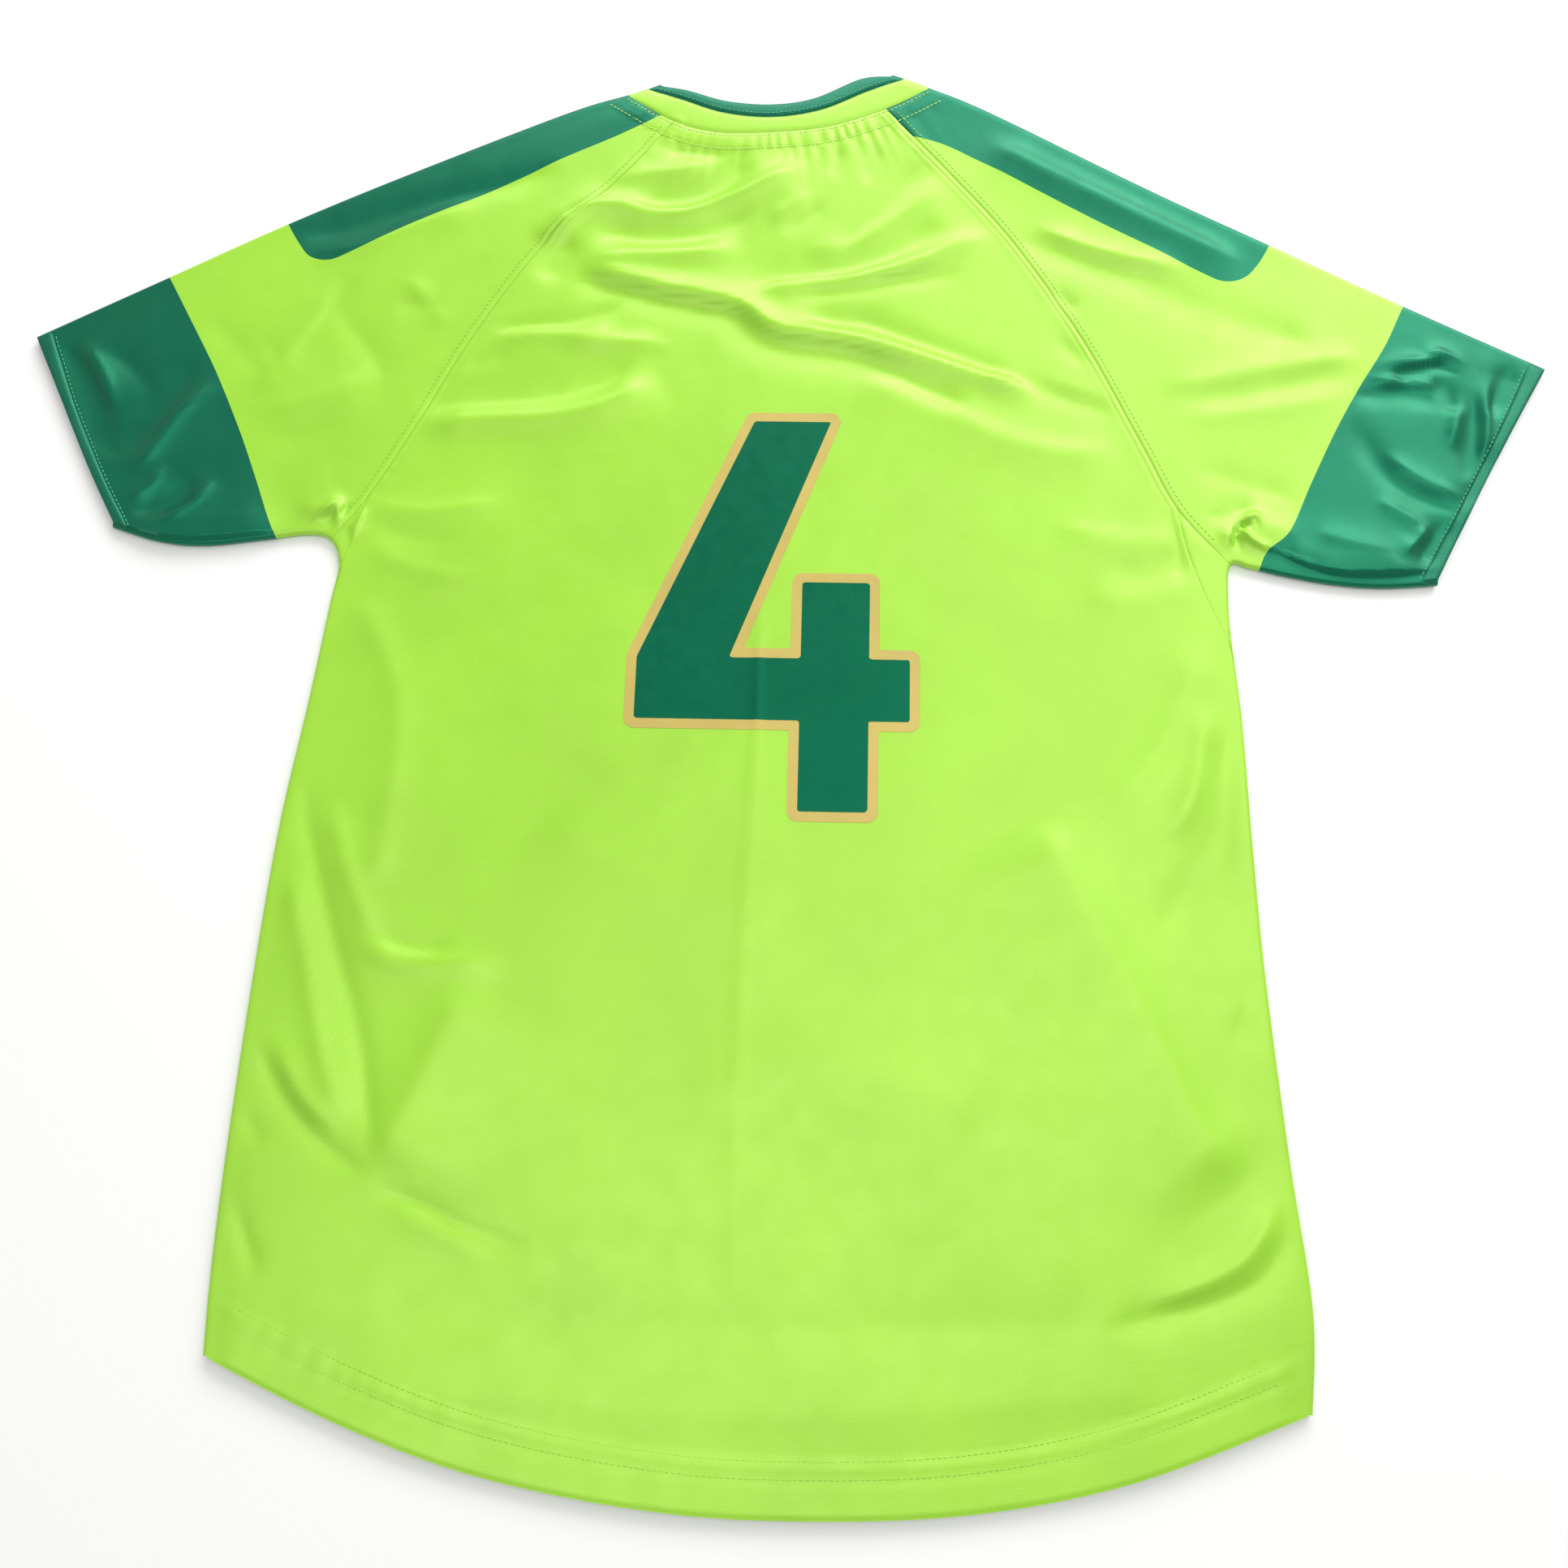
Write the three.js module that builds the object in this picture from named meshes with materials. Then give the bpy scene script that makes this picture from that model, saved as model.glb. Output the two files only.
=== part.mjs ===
// A football jersey laid flat with its back up, as the ten pieces that are cut and sewn.
// Millimetres. X runs across the garment, Y from hem to collar, Z up from the surface it lies on.
// The origin is the middle of the garment's outline, on that surface.
import * as THREE from 'three';

// Cloth and clearances
const WALL = 1.2;
const GAP = 0.3;
const CONTACT = 2 * WALL + GAP;
const SOFTNESS = 1.4;

// Folded edges: the cloth turns through half a circle there
const EDGE_RADIUS = 2.3;
const EDGE_BLEND = 17;
const HALF_TURN = Math.PI * EDGE_RADIUS;
const EDGE_OVERLAP = 6;

// Widths of the narrow pieces
const CUFF_WIDTH = 9;
const HEM_SHORTER = 3;

// Below the armpit the side seam slides round the folded edge, over this length and with this
// clearance on each of its sides while it is on the turn.
const SLIDE_LENGTH = 100;
const SLIDE_CLEARANCE = 0.3;

// How finely each stretch is divided
const TURN_STEPS = 4;
const LOW_SIDE_STEPS = 11;
const SLIDE_STEPS = 5;
const SIDE_STEPS = LOW_SIDE_STEPS + SLIDE_STEPS;
const SIDE_SEAM_STEPS = 3;
const RAGLAN_STEPS = 18;
const NECK_END_STEPS = 3;
const NECK_BACK_STEPS = 14;
const BACK_STEPS = 22;
const SLEEVE_STEPS = 12;
const UNDERSIDE_STEPS = 8;

// Colours: lime body, dark green trim
const LIME = 0xb6ee58;
const GREEN = 0x1f7a5c;

// Folded edge of each side, from the cuff along the underarm, round the armpit and down to the hem.
const UNDER_EDGE = [
  { at: 'cuff', leftX: -371, leftY: 99, rightX: 362, rightY: 75.5 },
  { at: 'band', leftX: -344, leftY: 91, rightX: 333, rightY: 73.5 },
  { at: 'middle', leftX: -318, leftY: 89, rightX: 307, rightY: 75 },
  { at: 'inner', leftX: -285, leftY: 93, rightX: 281, rightY: 79.5 },
  { at: 'near armpit', leftX: -260, leftY: 96.5, rightX: 262, rightY: 84 },
  { at: 'armpit', leftX: -247, leftY: 93, rightX: 251, rightY: 85.5 },
  { at: 'chest', leftX: -241, leftY: 79, rightX: 249, rightY: 66 },
  { at: 'side seam', leftX: -243.5, leftY: 56, rightX: 249.5, rightY: 43 },
  { at: 'waist', leftX: -249.5, leftY: 0, rightX: 253, rightY: -4 },
  { at: 'low waist', leftX: -257.5, leftY: -65, rightX: 255, rightY: -70 },
  { at: 'hip', leftX: -262, leftY: -130, rightX: 258, rightY: -140 },
  { at: 'low hip', leftX: -266, leftY: -220, rightX: 265, rightY: -230 },
  { at: 'skirt', leftX: -267.5, leftY: -290, rightX: 272, rightY: -300 },
  { at: 'hem', leftX: -266.5, leftY: -336, rightX: 269, rightY: -348 },
];
const underEdgeRow = (landmark) => UNDER_EDGE.findIndex((row) => row.at === landmark);
const ARMPIT = underEdgeRow('armpit');

// Where the side panel's back seam runs off the upper layer, over the folded edge.
const SEAM_CROSSING = { left: underEdgeRow('chest'), right: underEdgeRow('side seam') };

// Folded edge over each shoulder, from the collar's tip to the cuff.
const SHOULDER_EDGE = [
  { at: 'tip', leftX: -76, leftY: 392.5, rightX: 64, rightY: 400 },
  { at: 'binding', leftX: -83, leftY: 389.5, rightX: 71, rightY: 397.5 },
  { at: 'neck seam', leftX: -95, leftY: 385, rightX: 86, rightY: 391 },
  { at: 'neck end', leftX: -132, leftY: 371.5, rightX: 122, rightY: 374 },
  { at: 'shoulder', leftX: -225, leftY: 328, rightX: 215.5, rightY: 321 },
  { at: 'stripe end', leftX: -293, leftY: 294, rightX: 283, rightY: 285 },
  { at: 'band', leftX: -359, leftY: 258, rightX: 356.5, rightY: 246 },
  { at: 'cuff', leftX: -432, leftY: 218, rightX: 432.5, rightY: 207 },
];
const NECK_SEAM_END = 2;

// Raglan seams on the back, from the side panel's seam to the neck.
const RAGLAN_BACK = [
  { at: 'side seam', leftX: -228, leftY: 120, rightX: 223, rightY: 118 },
  { at: 'lower', leftX: -207, leftY: 160, rightX: 203.3, rightY: 160 },
  { at: 'middle', leftX: -177.5, leftY: 220, rightX: 174.6, rightY: 220 },
  { at: 'upper', leftX: -139.5, leftY: 281, rightX: 138, rightY: 280.5 },
  { at: 'shoulder', leftX: -98.5, leftY: 324, rightX: 101, rightY: 327.5 },
  { at: 'neck', leftX: -66.5, leftY: 365.5, rightX: 60, rightY: 375.5 },
];

// Raglan seams on the front, which lies underneath, up to the lower front neck.
const RAGLAN_FRONT = [
  { at: 'side seam', leftX: -216, leftY: 142, rightX: 210, rightY: 142 },
  { at: 'middle', leftX: -172, leftY: 225, rightX: 168, rightY: 228 },
  { at: 'upper', leftX: -128, leftY: 288, rightX: 122, rightY: 294 },
  { at: 'neck', leftX: -89, leftY: 342, rightX: 80, rightY: 350 },
];

// Back and front neck, left to right between the shoulder folds: the neck seam, the line where
// the binding meets the collar band, and the binding's free edge.
const NECK_BACK = [
  { at: 'left raglan', seamX: -66.5, seamY: 365.5, bandX: -62, bandY: 380.7, edgeX: -58, edgeY: 386.5 },
  { at: 'left', seamX: -39.5, seamY: 358.2, bandX: -37, bandY: 372, edgeX: -35, edgeY: 379.5 },
  { at: 'middle', seamX: -8, seamY: 358.5, bandX: -8, bandY: 369.2, edgeX: -8, edgeY: 377.5 },
  { at: 'right', seamX: 26, seamY: 363, bandX: 21, bandY: 374.5, edgeX: 17, edgeY: 382 },
  { at: 'right raglan', seamX: 60, seamY: 375.5, bandX: 50, bandY: 388.3, edgeX: 45, edgeY: 396 },
];
const NECK_FRONT = [
  { at: 'left raglan', seamX: -89, seamY: 342, bandX: -76, bandY: 346, edgeX: -68.5, edgeY: 348.5 },
  { at: 'left', seamX: -66, seamY: 303, bandX: -56, bandY: 313, edgeX: -51, edgeY: 319 },
  { at: 'middle', seamX: -8, seamY: 281, bandX: -8, bandY: 295, edgeX: -8, edgeY: 303 },
  { at: 'right', seamX: 52, seamY: 307, bandX: 43, bandY: 317, edgeX: 38, edgeY: 323 },
  { at: 'right raglan', seamX: 80, seamY: 350, bandX: 67, bandY: 354, edgeX: 59.5, edgeY: 356.5 },
];

// Side panel: its back seam bows towards the body on the right, and its front seam lies underneath.
const SIDE_SEAM_VIA = { leftX: -232.8, leftY: 100, rightX: 227, rightY: 82 };
const FRONT_SIDE_HEM = { leftX: -200, leftY: -364, rightX: 202, rightY: -372 };

// Cuff edges, from the lower corner to the tip, and the hem between its two corners.
const CUFF_EDGE = [
  { leftX: -390, leftY: 136, rightX: 383, rightY: 118 },
  { leftX: -411.5, leftY: 178, rightX: 408, rightY: 164 },
];
const HEM = [
  { x: -257, y: -340 },
  { x: -200, y: -364 },
  { x: -134, y: -385 },
  { x: -60, y: -397.5 },
  { x: 10, y: -401.5 },
  { x: 100, y: -397 },
  { x: 180, y: -381 },
  { x: 257, y: -352 },
];

// The largest folds of the upper layer: a curve from one end to the other past a middle point, how
// far the cloth rises (or sinks), and how far that reaches to the left and right of the way it runs.
const FOLDS = [
  { at: 'neck left', x0: -128, y0: 292, x1: -40, y1: 294, x2: 24, y2: 345, rise: 3.6, left: 11, right: 12 },
  { at: 'upper valley', x0: -122, y0: 262, x1: -28, y1: 244, x2: 40, y2: 214, rise: -3.2, left: 9, right: 9 },
  { at: 'long ridge', x0: -120, y0: 270, x1: -20, y1: 246, x2: 92, y2: 204, rise: 4.6, left: 11, right: 8 },
  { at: 'branch', x0: -26, y0: 249, x1: 22, y1: 268, x2: 112, y2: 305, rise: 4.2, left: 11, right: 8 },
  { at: 'long valley', x0: 8, y0: 218, x1: 112, y1: 214, x2: 206, y2: 160, rise: -3.4, left: 10, right: 10 },
  { at: 'right ridge', x0: 24, y0: 208, x1: 92, y1: 188, x2: 176, y2: 160, rise: 3.8, left: 10, right: 14 },
  { at: 'left valley', x0: -176, y0: 196, x1: -110, y1: 192, x2: -28, y2: 234, rise: -3, left: 10, right: 11 },
  { at: 'left ridge', x0: -182, y0: 166, x1: -104, y1: 176, x2: -24, y2: 230, rise: 4.4, left: 12, right: 20 },
  { at: 'left small', x0: -168, y0: 212, x1: -128, y1: 226, x2: -68, y2: 216, rise: 3, left: 9, right: 10 },
  { at: 'left side', x0: -138, y0: -138, x1: -166, y1: -196, x2: -196, y2: -262, rise: 4.6, left: 30, right: 22 },
  { at: 'left flank', x0: -216, y0: -118, x1: -204, y1: -190, x2: -186, y2: -262, rise: 3.6, left: 17, right: 15 },
  { at: 'left hip', x0: -222, y0: -112, x1: -180, y1: -146, x2: -138, y2: -150, rise: 3, left: 17, right: 16 },
  { at: 'right side', x0: 132, y0: -34, x1: 186, y1: -140, x2: 244, y2: -258, rise: 4.8, left: 22, right: 30 },
  { at: 'right flank', x0: 250, y0: -8, x1: 244, y1: -80, x2: 206, y2: -126, rise: -3, left: 17, right: 17 },
  { at: 'lower left', x0: -196, y0: -256, x1: -150, y1: -268, x2: -96, y2: -278, rise: 3, left: 16, right: 15 },
  { at: 'hem swell', x0: -190, y0: -338, x1: 0, y1: -336, x2: 190, y2: -330, rise: 2.4, left: 24, right: 20 },
  { at: 'armpit left', x0: -262, y0: 104, x1: -252, y1: 124, x2: -236, y2: 116, rise: 3.8, left: 8, right: 9 },
  { at: 'armpit right', x0: 248, y0: 92, x1: 262, y1: 124, x2: 276, y2: 102, rise: 4, left: 9, right: 8 },
  { at: 'left underarm', x0: -366, y0: 106, x1: -325, y1: 94, x2: -272, y2: 104, rise: 4.2, left: 18, right: 7 },
  { at: 'right underarm', x0: 358, y0: 89, x1: 306, y1: 84, x2: 262, y2: 106, rise: 4.2, left: 7, right: 18 },
  { at: 'right sleeve', x0: 216, y0: 184, x1: 282, y1: 208, x2: 350, y2: 206, rise: 3.8, left: 15, right: 14 },
  { at: 'right cuff', x0: 352, y0: 208, x1: 384, y1: 218, x2: 414, y2: 200, rise: 3.6, left: 11, right: 12 },
  { at: 'right lower', x0: 318, y0: 158, x1: 346, y1: 126, x2: 374, y2: 112, rise: 3.4, left: 13, right: 13 },
  { at: 'left sleeve', x0: -226, y0: 262, x1: -286, y1: 250, x2: -344, y2: 214, rise: 3.2, left: 18, right: 17 },
  { at: 'left cuff', x0: -402, y0: 196, x1: -380, y1: 160, x2: -352, y2: 116, rise: 3.6, left: 13, right: 12 },
  { at: 'left raglan', x0: -196, y0: 196, x1: -212, y1: 166, x2: -234, y2: 132, rise: 2.6, left: 14, right: 14 },
];
const FOLD_PIECES = 10;
const FOLD_TAPER = 0.3;

const clamp01 = (value) => THREE.MathUtils.clamp(value, 0, 1);
const vector = (x, y) => new THREE.Vector2(x, y);

// A table's points for one side, as two-dimensional vectors.
function sidePoints(table, side) {
  return table.map((row) => vector(row[`${side}X`], row[`${side}Y`]));
}

// A smooth curve through points, read by the distance along it. On a folded edge, turn is -1 where
// the outside lies to the right of the way it runs and 1 where it lies to the left.
class Path {
  constructor(points, turn = 1) {
    this.curve = new THREE.SplineCurve(points);
    this.curve.arcLengthDivisions = 40 * (points.length - 1);
    this.length = this.curve.getLength();
    this.turn = turn;
  }

  lengthTo(index) {
    return this.curve.getLengths()[40 * index];
  }

  point(distance) {
    return this.curve.getPointAt(clamp01(distance / this.length));
  }

  outward(distance) {
    const along = this.curve.getTangentAt(clamp01(distance / this.length));
    return vector(-along.y * this.turn, along.x * this.turn);
  }

  // Where the cloth starts to turn over the edge, and which way is out.
  fold(distance) {
    const out = this.outward(distance);
    return { start: this.point(distance).addScaledVector(out, -EDGE_RADIUS), out };
  }

  points(from, to, steps) {
    return Array.from({ length: steps + 1 }, (_, i) => this.point(from + ((to - from) * i) / steps));
  }
}

// Shifts each point of a line to its left by a distance, with mitred corners.
function shiftLine(points, distance) {
  return points.map((point, i) => {
    const before = point.clone().sub(points[Math.max(i - 1, 0)]).normalize();
    const after = points[Math.min(i + 1, points.length - 1)].clone().sub(point).normalize();
    const first = i === 0 ? after : before;
    const second = i === points.length - 1 ? before : after;
    const normal = vector(-first.y - second.y, first.x + second.x).normalize();
    const mitre = Math.max(0.5, -first.y * normal.x + first.x * normal.y);
    return point.clone().addScaledVector(normal, distance / mitre);
  });
}

const UNDER = {
  left: new Path(sidePoints(UNDER_EDGE, 'left'), -1),
  right: new Path(sidePoints(UNDER_EDGE, 'right'), 1),
};
const SHOULDER = {
  left: new Path(sidePoints(SHOULDER_EDGE, 'left'), -1),
  right: new Path(sidePoints(SHOULDER_EDGE, 'right'), 1),
};
// The folded edges as straight pieces, for measuring how far a point is from them.
const EDGE_LINES = [UNDER.left, UNDER.right, SHOULDER.left, SHOULDER.right].map((path) =>
  path.points(0, path.length, 34),
);

function nearestOnLine(point, line) {
  let best = { distance: Infinity, along: 0, side: 1 };
  for (let i = 0; i < line.length - 1; i += 1) {
    const piece = line[i + 1].clone().sub(line[i]);
    const offset = point.clone().sub(line[i]);
    const t = clamp01(offset.dot(piece) / piece.lengthSq());
    const distance = offset.distanceTo(piece.clone().multiplyScalar(t));
    if (distance < best.distance) {
      best = { distance, along: (i + t) / (line.length - 1), side: piece.cross(offset) };
    }
  }
  return best;
}

const FOLD_LINES = FOLDS.map((fold) =>
  new THREE.QuadraticBezierCurve(
    vector(fold.x0, fold.y0),
    vector(fold.x1, fold.y1),
    vector(fold.x2, fold.y2),
  ).getPoints(FOLD_PIECES),
);

function foldRise(fold, line, point) {
  const near = nearestOnLine(point, line);
  const reach = near.side > 0 ? fold.left : fold.right;
  const ends = Math.min(near.along, 1 - near.along);
  const taper = THREE.MathUtils.smoothstep(ends, 0, FOLD_TAPER);
  return fold.rise * taper * Math.exp(-((near.distance / reach) ** 2));
}

// Height of the upper layer's outer face.
function heightAt(x, y) {
  const point = vector(x, y);
  let lift = 0;
  FOLDS.forEach((fold, i) => {
    lift += foldRise(fold, FOLD_LINES[i], point);
  });
  const free = CONTACT + 0.5 * (lift + Math.hypot(lift, SOFTNESS));
  const edge = Math.min(...EDGE_LINES.map((line) => nearestOnLine(point, line).distance));
  return THREE.MathUtils.lerp(
    2 * EDGE_RADIUS,
    free,
    THREE.MathUtils.smoothstep(edge, EDGE_RADIUS, EDGE_BLEND),
  );
}

// A place on the cloth: its outer point and the inner point one wall behind it.
function upper(point) {
  const step = 0.5;
  const slopeX = (heightAt(point.x + step, point.y) - heightAt(point.x - step, point.y)) / (2 * step);
  const slopeY = (heightAt(point.x, point.y + step) - heightAt(point.x, point.y - step)) / (2 * step);
  const normal = new THREE.Vector3(-slopeX, -slopeY, 1).normalize();
  const outer = new THREE.Vector3(point.x, point.y, heightAt(point.x, point.y));
  return { outer, inner: outer.clone().addScaledVector(normal, -WALL) };
}

function lower(point) {
  return {
    outer: new THREE.Vector3(point.x, point.y, 0),
    inner: new THREE.Vector3(point.x, point.y, WALL),
  };
}

// On the turn of a folded edge, at a part (0 to 1) of the way from the upper to the lower layer.
function turning({ start, out }, part) {
  const angle = Math.PI * (0.5 - part);
  const at = (radius) =>
    new THREE.Vector3(
      start.x + radius * Math.cos(angle) * out.x,
      start.y + radius * Math.cos(angle) * out.y,
      EDGE_RADIUS + radius * Math.sin(angle),
    );
  return { outer: at(EDGE_RADIUS), inner: at(EDGE_RADIUS - WALL) };
}

// A closed wall from rows of places. Rings join each row's last place to its first.
function wallGeometry(rows, rings = false) {
  const across = rows[0].length;
  const count = rows.length * across;
  const positions = [];
  ['outer', 'inner'].forEach((face) =>
    rows.forEach((row) => row.forEach((place) => positions.push(...place[face].toArray()))),
  );
  const faces = [];
  const quad = (a, b, c, d) => faces.push(a, b, c, a, c, d);
  const at = (i, j) => i * across + (j % across);
  const lastColumn = rings ? across : across - 1;
  for (let i = 0; i < rows.length - 1; i += 1) {
    for (let j = 0; j < lastColumn; j += 1) {
      quad(at(i, j), at(i, j + 1), at(i + 1, j + 1), at(i + 1, j));
      quad(count + at(i, j), count + at(i + 1, j), count + at(i + 1, j + 1), count + at(i, j + 1));
    }
  }
  const last = rows.length - 1;
  for (let j = 0; j < lastColumn; j += 1) {
    quad(at(0, j), count + at(0, j), count + at(0, j + 1), at(0, j + 1));
    quad(at(last, j), at(last, j + 1), count + at(last, j + 1), count + at(last, j));
  }
  for (let i = 0; i < last && !rings; i += 1) {
    const end = across - 1;
    quad(at(i, 0), at(i + 1, 0), count + at(i + 1, 0), count + at(i, 0));
    quad(at(i, end), count + at(i, end), count + at(i + 1, end), at(i + 1, end));
  }
  const geometry = new THREE.BufferGeometry();
  geometry.setAttribute('position', new THREE.Float32BufferAttribute(positions, 3));
  geometry.setIndex(enclosedVolume(positions, faces) < 0 ? faces.reverse() : faces);
  geometry.computeVertexNormals();
  return geometry;
}

function enclosedVolume(positions, faces) {
  const corner = (index) => new THREE.Vector3().fromArray(positions, 3 * index);
  let volume = 0;
  for (let i = 0; i < faces.length; i += 3) {
    const turned = corner(faces[i + 1]).cross(corner(faces[i + 2]));
    volume += corner(faces[i]).dot(turned) / 6;
  }
  return volume;
}

// How far along a line each of its points lies, from 0 to 1.
function fractions(points) {
  const reach = [0];
  for (let i = 1; i < points.length; i += 1) {
    reach.push(reach[i - 1] + points[i].distanceTo(points[i - 1]));
  }
  return reach.map((value) => value / reach[reach.length - 1]);
}

// A point inside four border lines, from its place along them: first and last are the borders at
// b = 0 and 1, sideA and sideB those at a = 0 and 1. The borders are read at the given place.
function blend(a, b, first, last, sideA, sideB, corners) {
  const [c00, c10, c01, c11] = corners;
  const sum = (name) =>
    (1 - b) * first[name] + b * last[name] + (1 - a) * sideA[name] + a * sideB[name]
    - (1 - a) * (1 - b) * c00[name] - a * (1 - b) * c10[name]
    - (1 - a) * b * c01[name] - a * b * c11[name];
  return vector(sum('x'), sum('y'));
}

// Rows of points between a first and a last line, with the row ends on the two side lines.
function patch(firstLine, lastLine, sideA, sideB) {
  const alongFirst = fractions(firstLine);
  const alongLast = fractions(lastLine);
  const alongA = fractions(sideA);
  const alongB = fractions(sideB);
  const end = firstLine.length - 1;
  const corners = [firstLine[0], firstLine[end], lastLine[0], lastLine[end]];
  return sideA.map((startPoint, i) =>
    firstLine.map((firstPoint, j) => {
      const b = 0.5 * (alongA[i] + alongB[i]);
      const a = THREE.MathUtils.lerp(alongFirst[j], alongLast[j], b);
      return blend(a, b, firstPoint, lastLine[j], startPoint, sideB[i], corners);
    }),
  );
}

// A point at a fraction of the way along a line.
function alongLine(points, fraction) {
  const marks = fractions(points);
  const wanted = clamp01(fraction);
  let i = 0;
  while (i < points.length - 2 && marks[i + 1] < wanted) i += 1;
  return points[i].clone().lerp(points[i + 1], (wanted - marks[i]) / (marks[i + 1] - marks[i]));
}

function spread(points, fractionsWanted) {
  return fractionsWanted.map((fraction) => alongLine(points, fraction));
}

// A flattened tube: rings over the upper layer, round one folded edge, back underneath and round
// the other. Each end gives the upper and lower lines between the starts of its two turns.
function flatTube({ upperRows, lowerRows, foldsA, foldsB }) {
  const turn = (fold, downwards) =>
    Array.from({ length: TURN_STEPS - 1 }, (_, i) => {
      const part = (i + 1) / TURN_STEPS;
      return turning(fold, downwards ? part : 1 - part);
    });
  return wallGeometry(
    upperRows.map((row, i) => {
      const top = row.map(upper);
      top[0] = turning(foldsA[i], 0);
      top[row.length - 1] = turning(foldsB[i], 0);
      const bottom = lowerRows[i].map(lower).reverse();
      return [...top, ...turn(foldsB[i], true), ...bottom, ...turn(foldsA[i], false)];
    }),
    true,
  );
}

// One side's seams, worked out once and shared by the pieces on both sides of each seam.
function sideSeams(side) {
  const under = UNDER[side];
  const shoulder = SHOULDER[side];
  const armpit = under.lengthTo(ARMPIT);
  const crossing = under.lengthTo(SEAM_CROSSING[side]);
  const neck = shoulder.lengthTo(NECK_SEAM_END);
  const armpitStart = under.fold(armpit).start;
  const neckStart = shoulder.fold(neck).start;
  const back = new Path([armpitStart, ...sidePoints(RAGLAN_BACK, side)]);
  const front = new Path([armpitStart, ...sidePoints(RAGLAN_FRONT, side)]);
  const crossStart = under.fold(crossing).start;
  const junction = back.point(back.lengthTo(1));
  const via = vector(SIDE_SEAM_VIA[`${side}X`], SIDE_SEAM_VIA[`${side}Y`]);
  return {
    under,
    shoulder,
    armpit,
    crossing,
    neck,
    neckStart,
    backLow: back.points(0, back.lengthTo(1), SIDE_SEAM_STEPS),
    backHigh: back.points(back.lengthTo(1), back.length, RAGLAN_STEPS),
    frontLow: front.points(0, front.lengthTo(1), SIDE_SEAM_STEPS),
    frontHigh: front.points(front.lengthTo(1), front.length, UNDERSIDE_STEPS),
    sideSeam: new THREE.QuadraticBezierCurve(crossStart, via, junction).getPoints(SIDE_SEAM_STEPS),
    frontHem: vector(FRONT_SIDE_HEM[`${side}X`], FRONT_SIDE_HEM[`${side}Y`]),
  };
}
const SEAMS = { left: sideSeams('left'), right: sideSeams('right') };

// Neck lines on the back and on the front, between the starts of the two shoulder turns.
const NECK_COLUMNS = ['seam', 'band', 'edge'];
function neckLine(table, column, leftEnd, rightEnd) {
  const middle = table.map((row) => vector(row[`${column}X`], row[`${column}Y`]));
  const path = new Path([leftEnd, ...middle, rightEnd]);
  const leftRaglan = path.lengthTo(1);
  const rightRaglan = path.lengthTo(table.length);
  return [
    ...path.points(0, leftRaglan, NECK_END_STEPS).slice(0, -1),
    ...path.points(leftRaglan, rightRaglan, NECK_BACK_STEPS).slice(0, -1),
    ...path.points(rightRaglan, path.length, NECK_END_STEPS),
  ];
}
const COLLAR_ENDS = NECK_COLUMNS.map((column, i) => NECK_SEAM_END - i);
const NECK = Object.fromEntries(
  NECK_COLUMNS.map((column, i) => {
    const ends = ['left', 'right'].map((side) => {
      const path = SHOULDER[side];
      return path.fold(path.lengthTo(COLLAR_ENDS[i])).start;
    });
    return [column, {
      back: neckLine(NECK_BACK, column, ...ends),
      front: neckLine(NECK_FRONT, column, ...ends),
    }];
  }),
);
const inwards = (side) => (side === 'left' ? 1 : -1);

// The neck seam's short stretch on one sleeve, from the raglan to the shoulder fold.
function sleeveNeck(side, layer) {
  const line = NECK.seam[layer];
  const part = side === 'left' ? line.slice(0, NECK_END_STEPS + 1).reverse() : line.slice(-NECK_END_STEPS - 1);
  return part.slice(1);
}

// Sleeve end on the raglan and neck seams, held off them by half the seam's clearance.
function sleeveEnd(side, layer) {
  const seams = SEAMS[side];
  const [low, high] = layer === 'back' ? [seams.backLow, seams.backHigh] : [seams.frontLow, seams.frontHigh];
  const line = [...low, ...high.slice(1), ...sleeveNeck(side, layer)];
  return shiftLine(line, (inwards(side) * GAP) / 2);
}

function cuffLine(side, back) {
  const seams = SEAMS[side];
  const points = [
    seams.under.fold(back).start,
    ...sidePoints(CUFF_EDGE, side),
    seams.shoulder.fold(seams.shoulder.length - back).start,
  ];
  const inward = points[0].clone().add(points[3]).multiplyScalar(0.5).normalize();
  points[1].addScaledVector(inward, -back);
  points[2].addScaledVector(inward, -back);
  return new THREE.SplineCurve(points).getPoints(40);
}

function sleeve(side) {
  const seams = SEAMS[side];
  const cuff = CUFF_WIDTH + GAP / 2;
  const stations = Array.from({ length: SLEEVE_STEPS + 1 }, (_, i) => i / SLEEVE_STEPS);
  const foldsA = stations.map((t) =>
    seams.under.fold(THREE.MathUtils.lerp(seams.armpit - GAP / 2, cuff, t)));
  const foldsB = stations.map((t) =>
    seams.shoulder.fold(THREE.MathUtils.lerp(seams.neck + GAP / 2, seams.shoulder.length - cuff, t)));
  const starts = (folds) => folds.map((fold) => fold.start);
  const rows = (layer) => {
    const end = sleeveEnd(side, layer);
    end[0] = foldsA[0].start;
    end[end.length - 1] = foldsB[0].start;
    const cuffEnd = spread(cuffLine(side, cuff), fractions(end));
    return patch(end, cuffEnd, starts(foldsA), starts(foldsB));
  };
  return flatTube({ upperRows: rows('back'), lowerRows: rows('front'), foldsA, foldsB });
}

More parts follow.
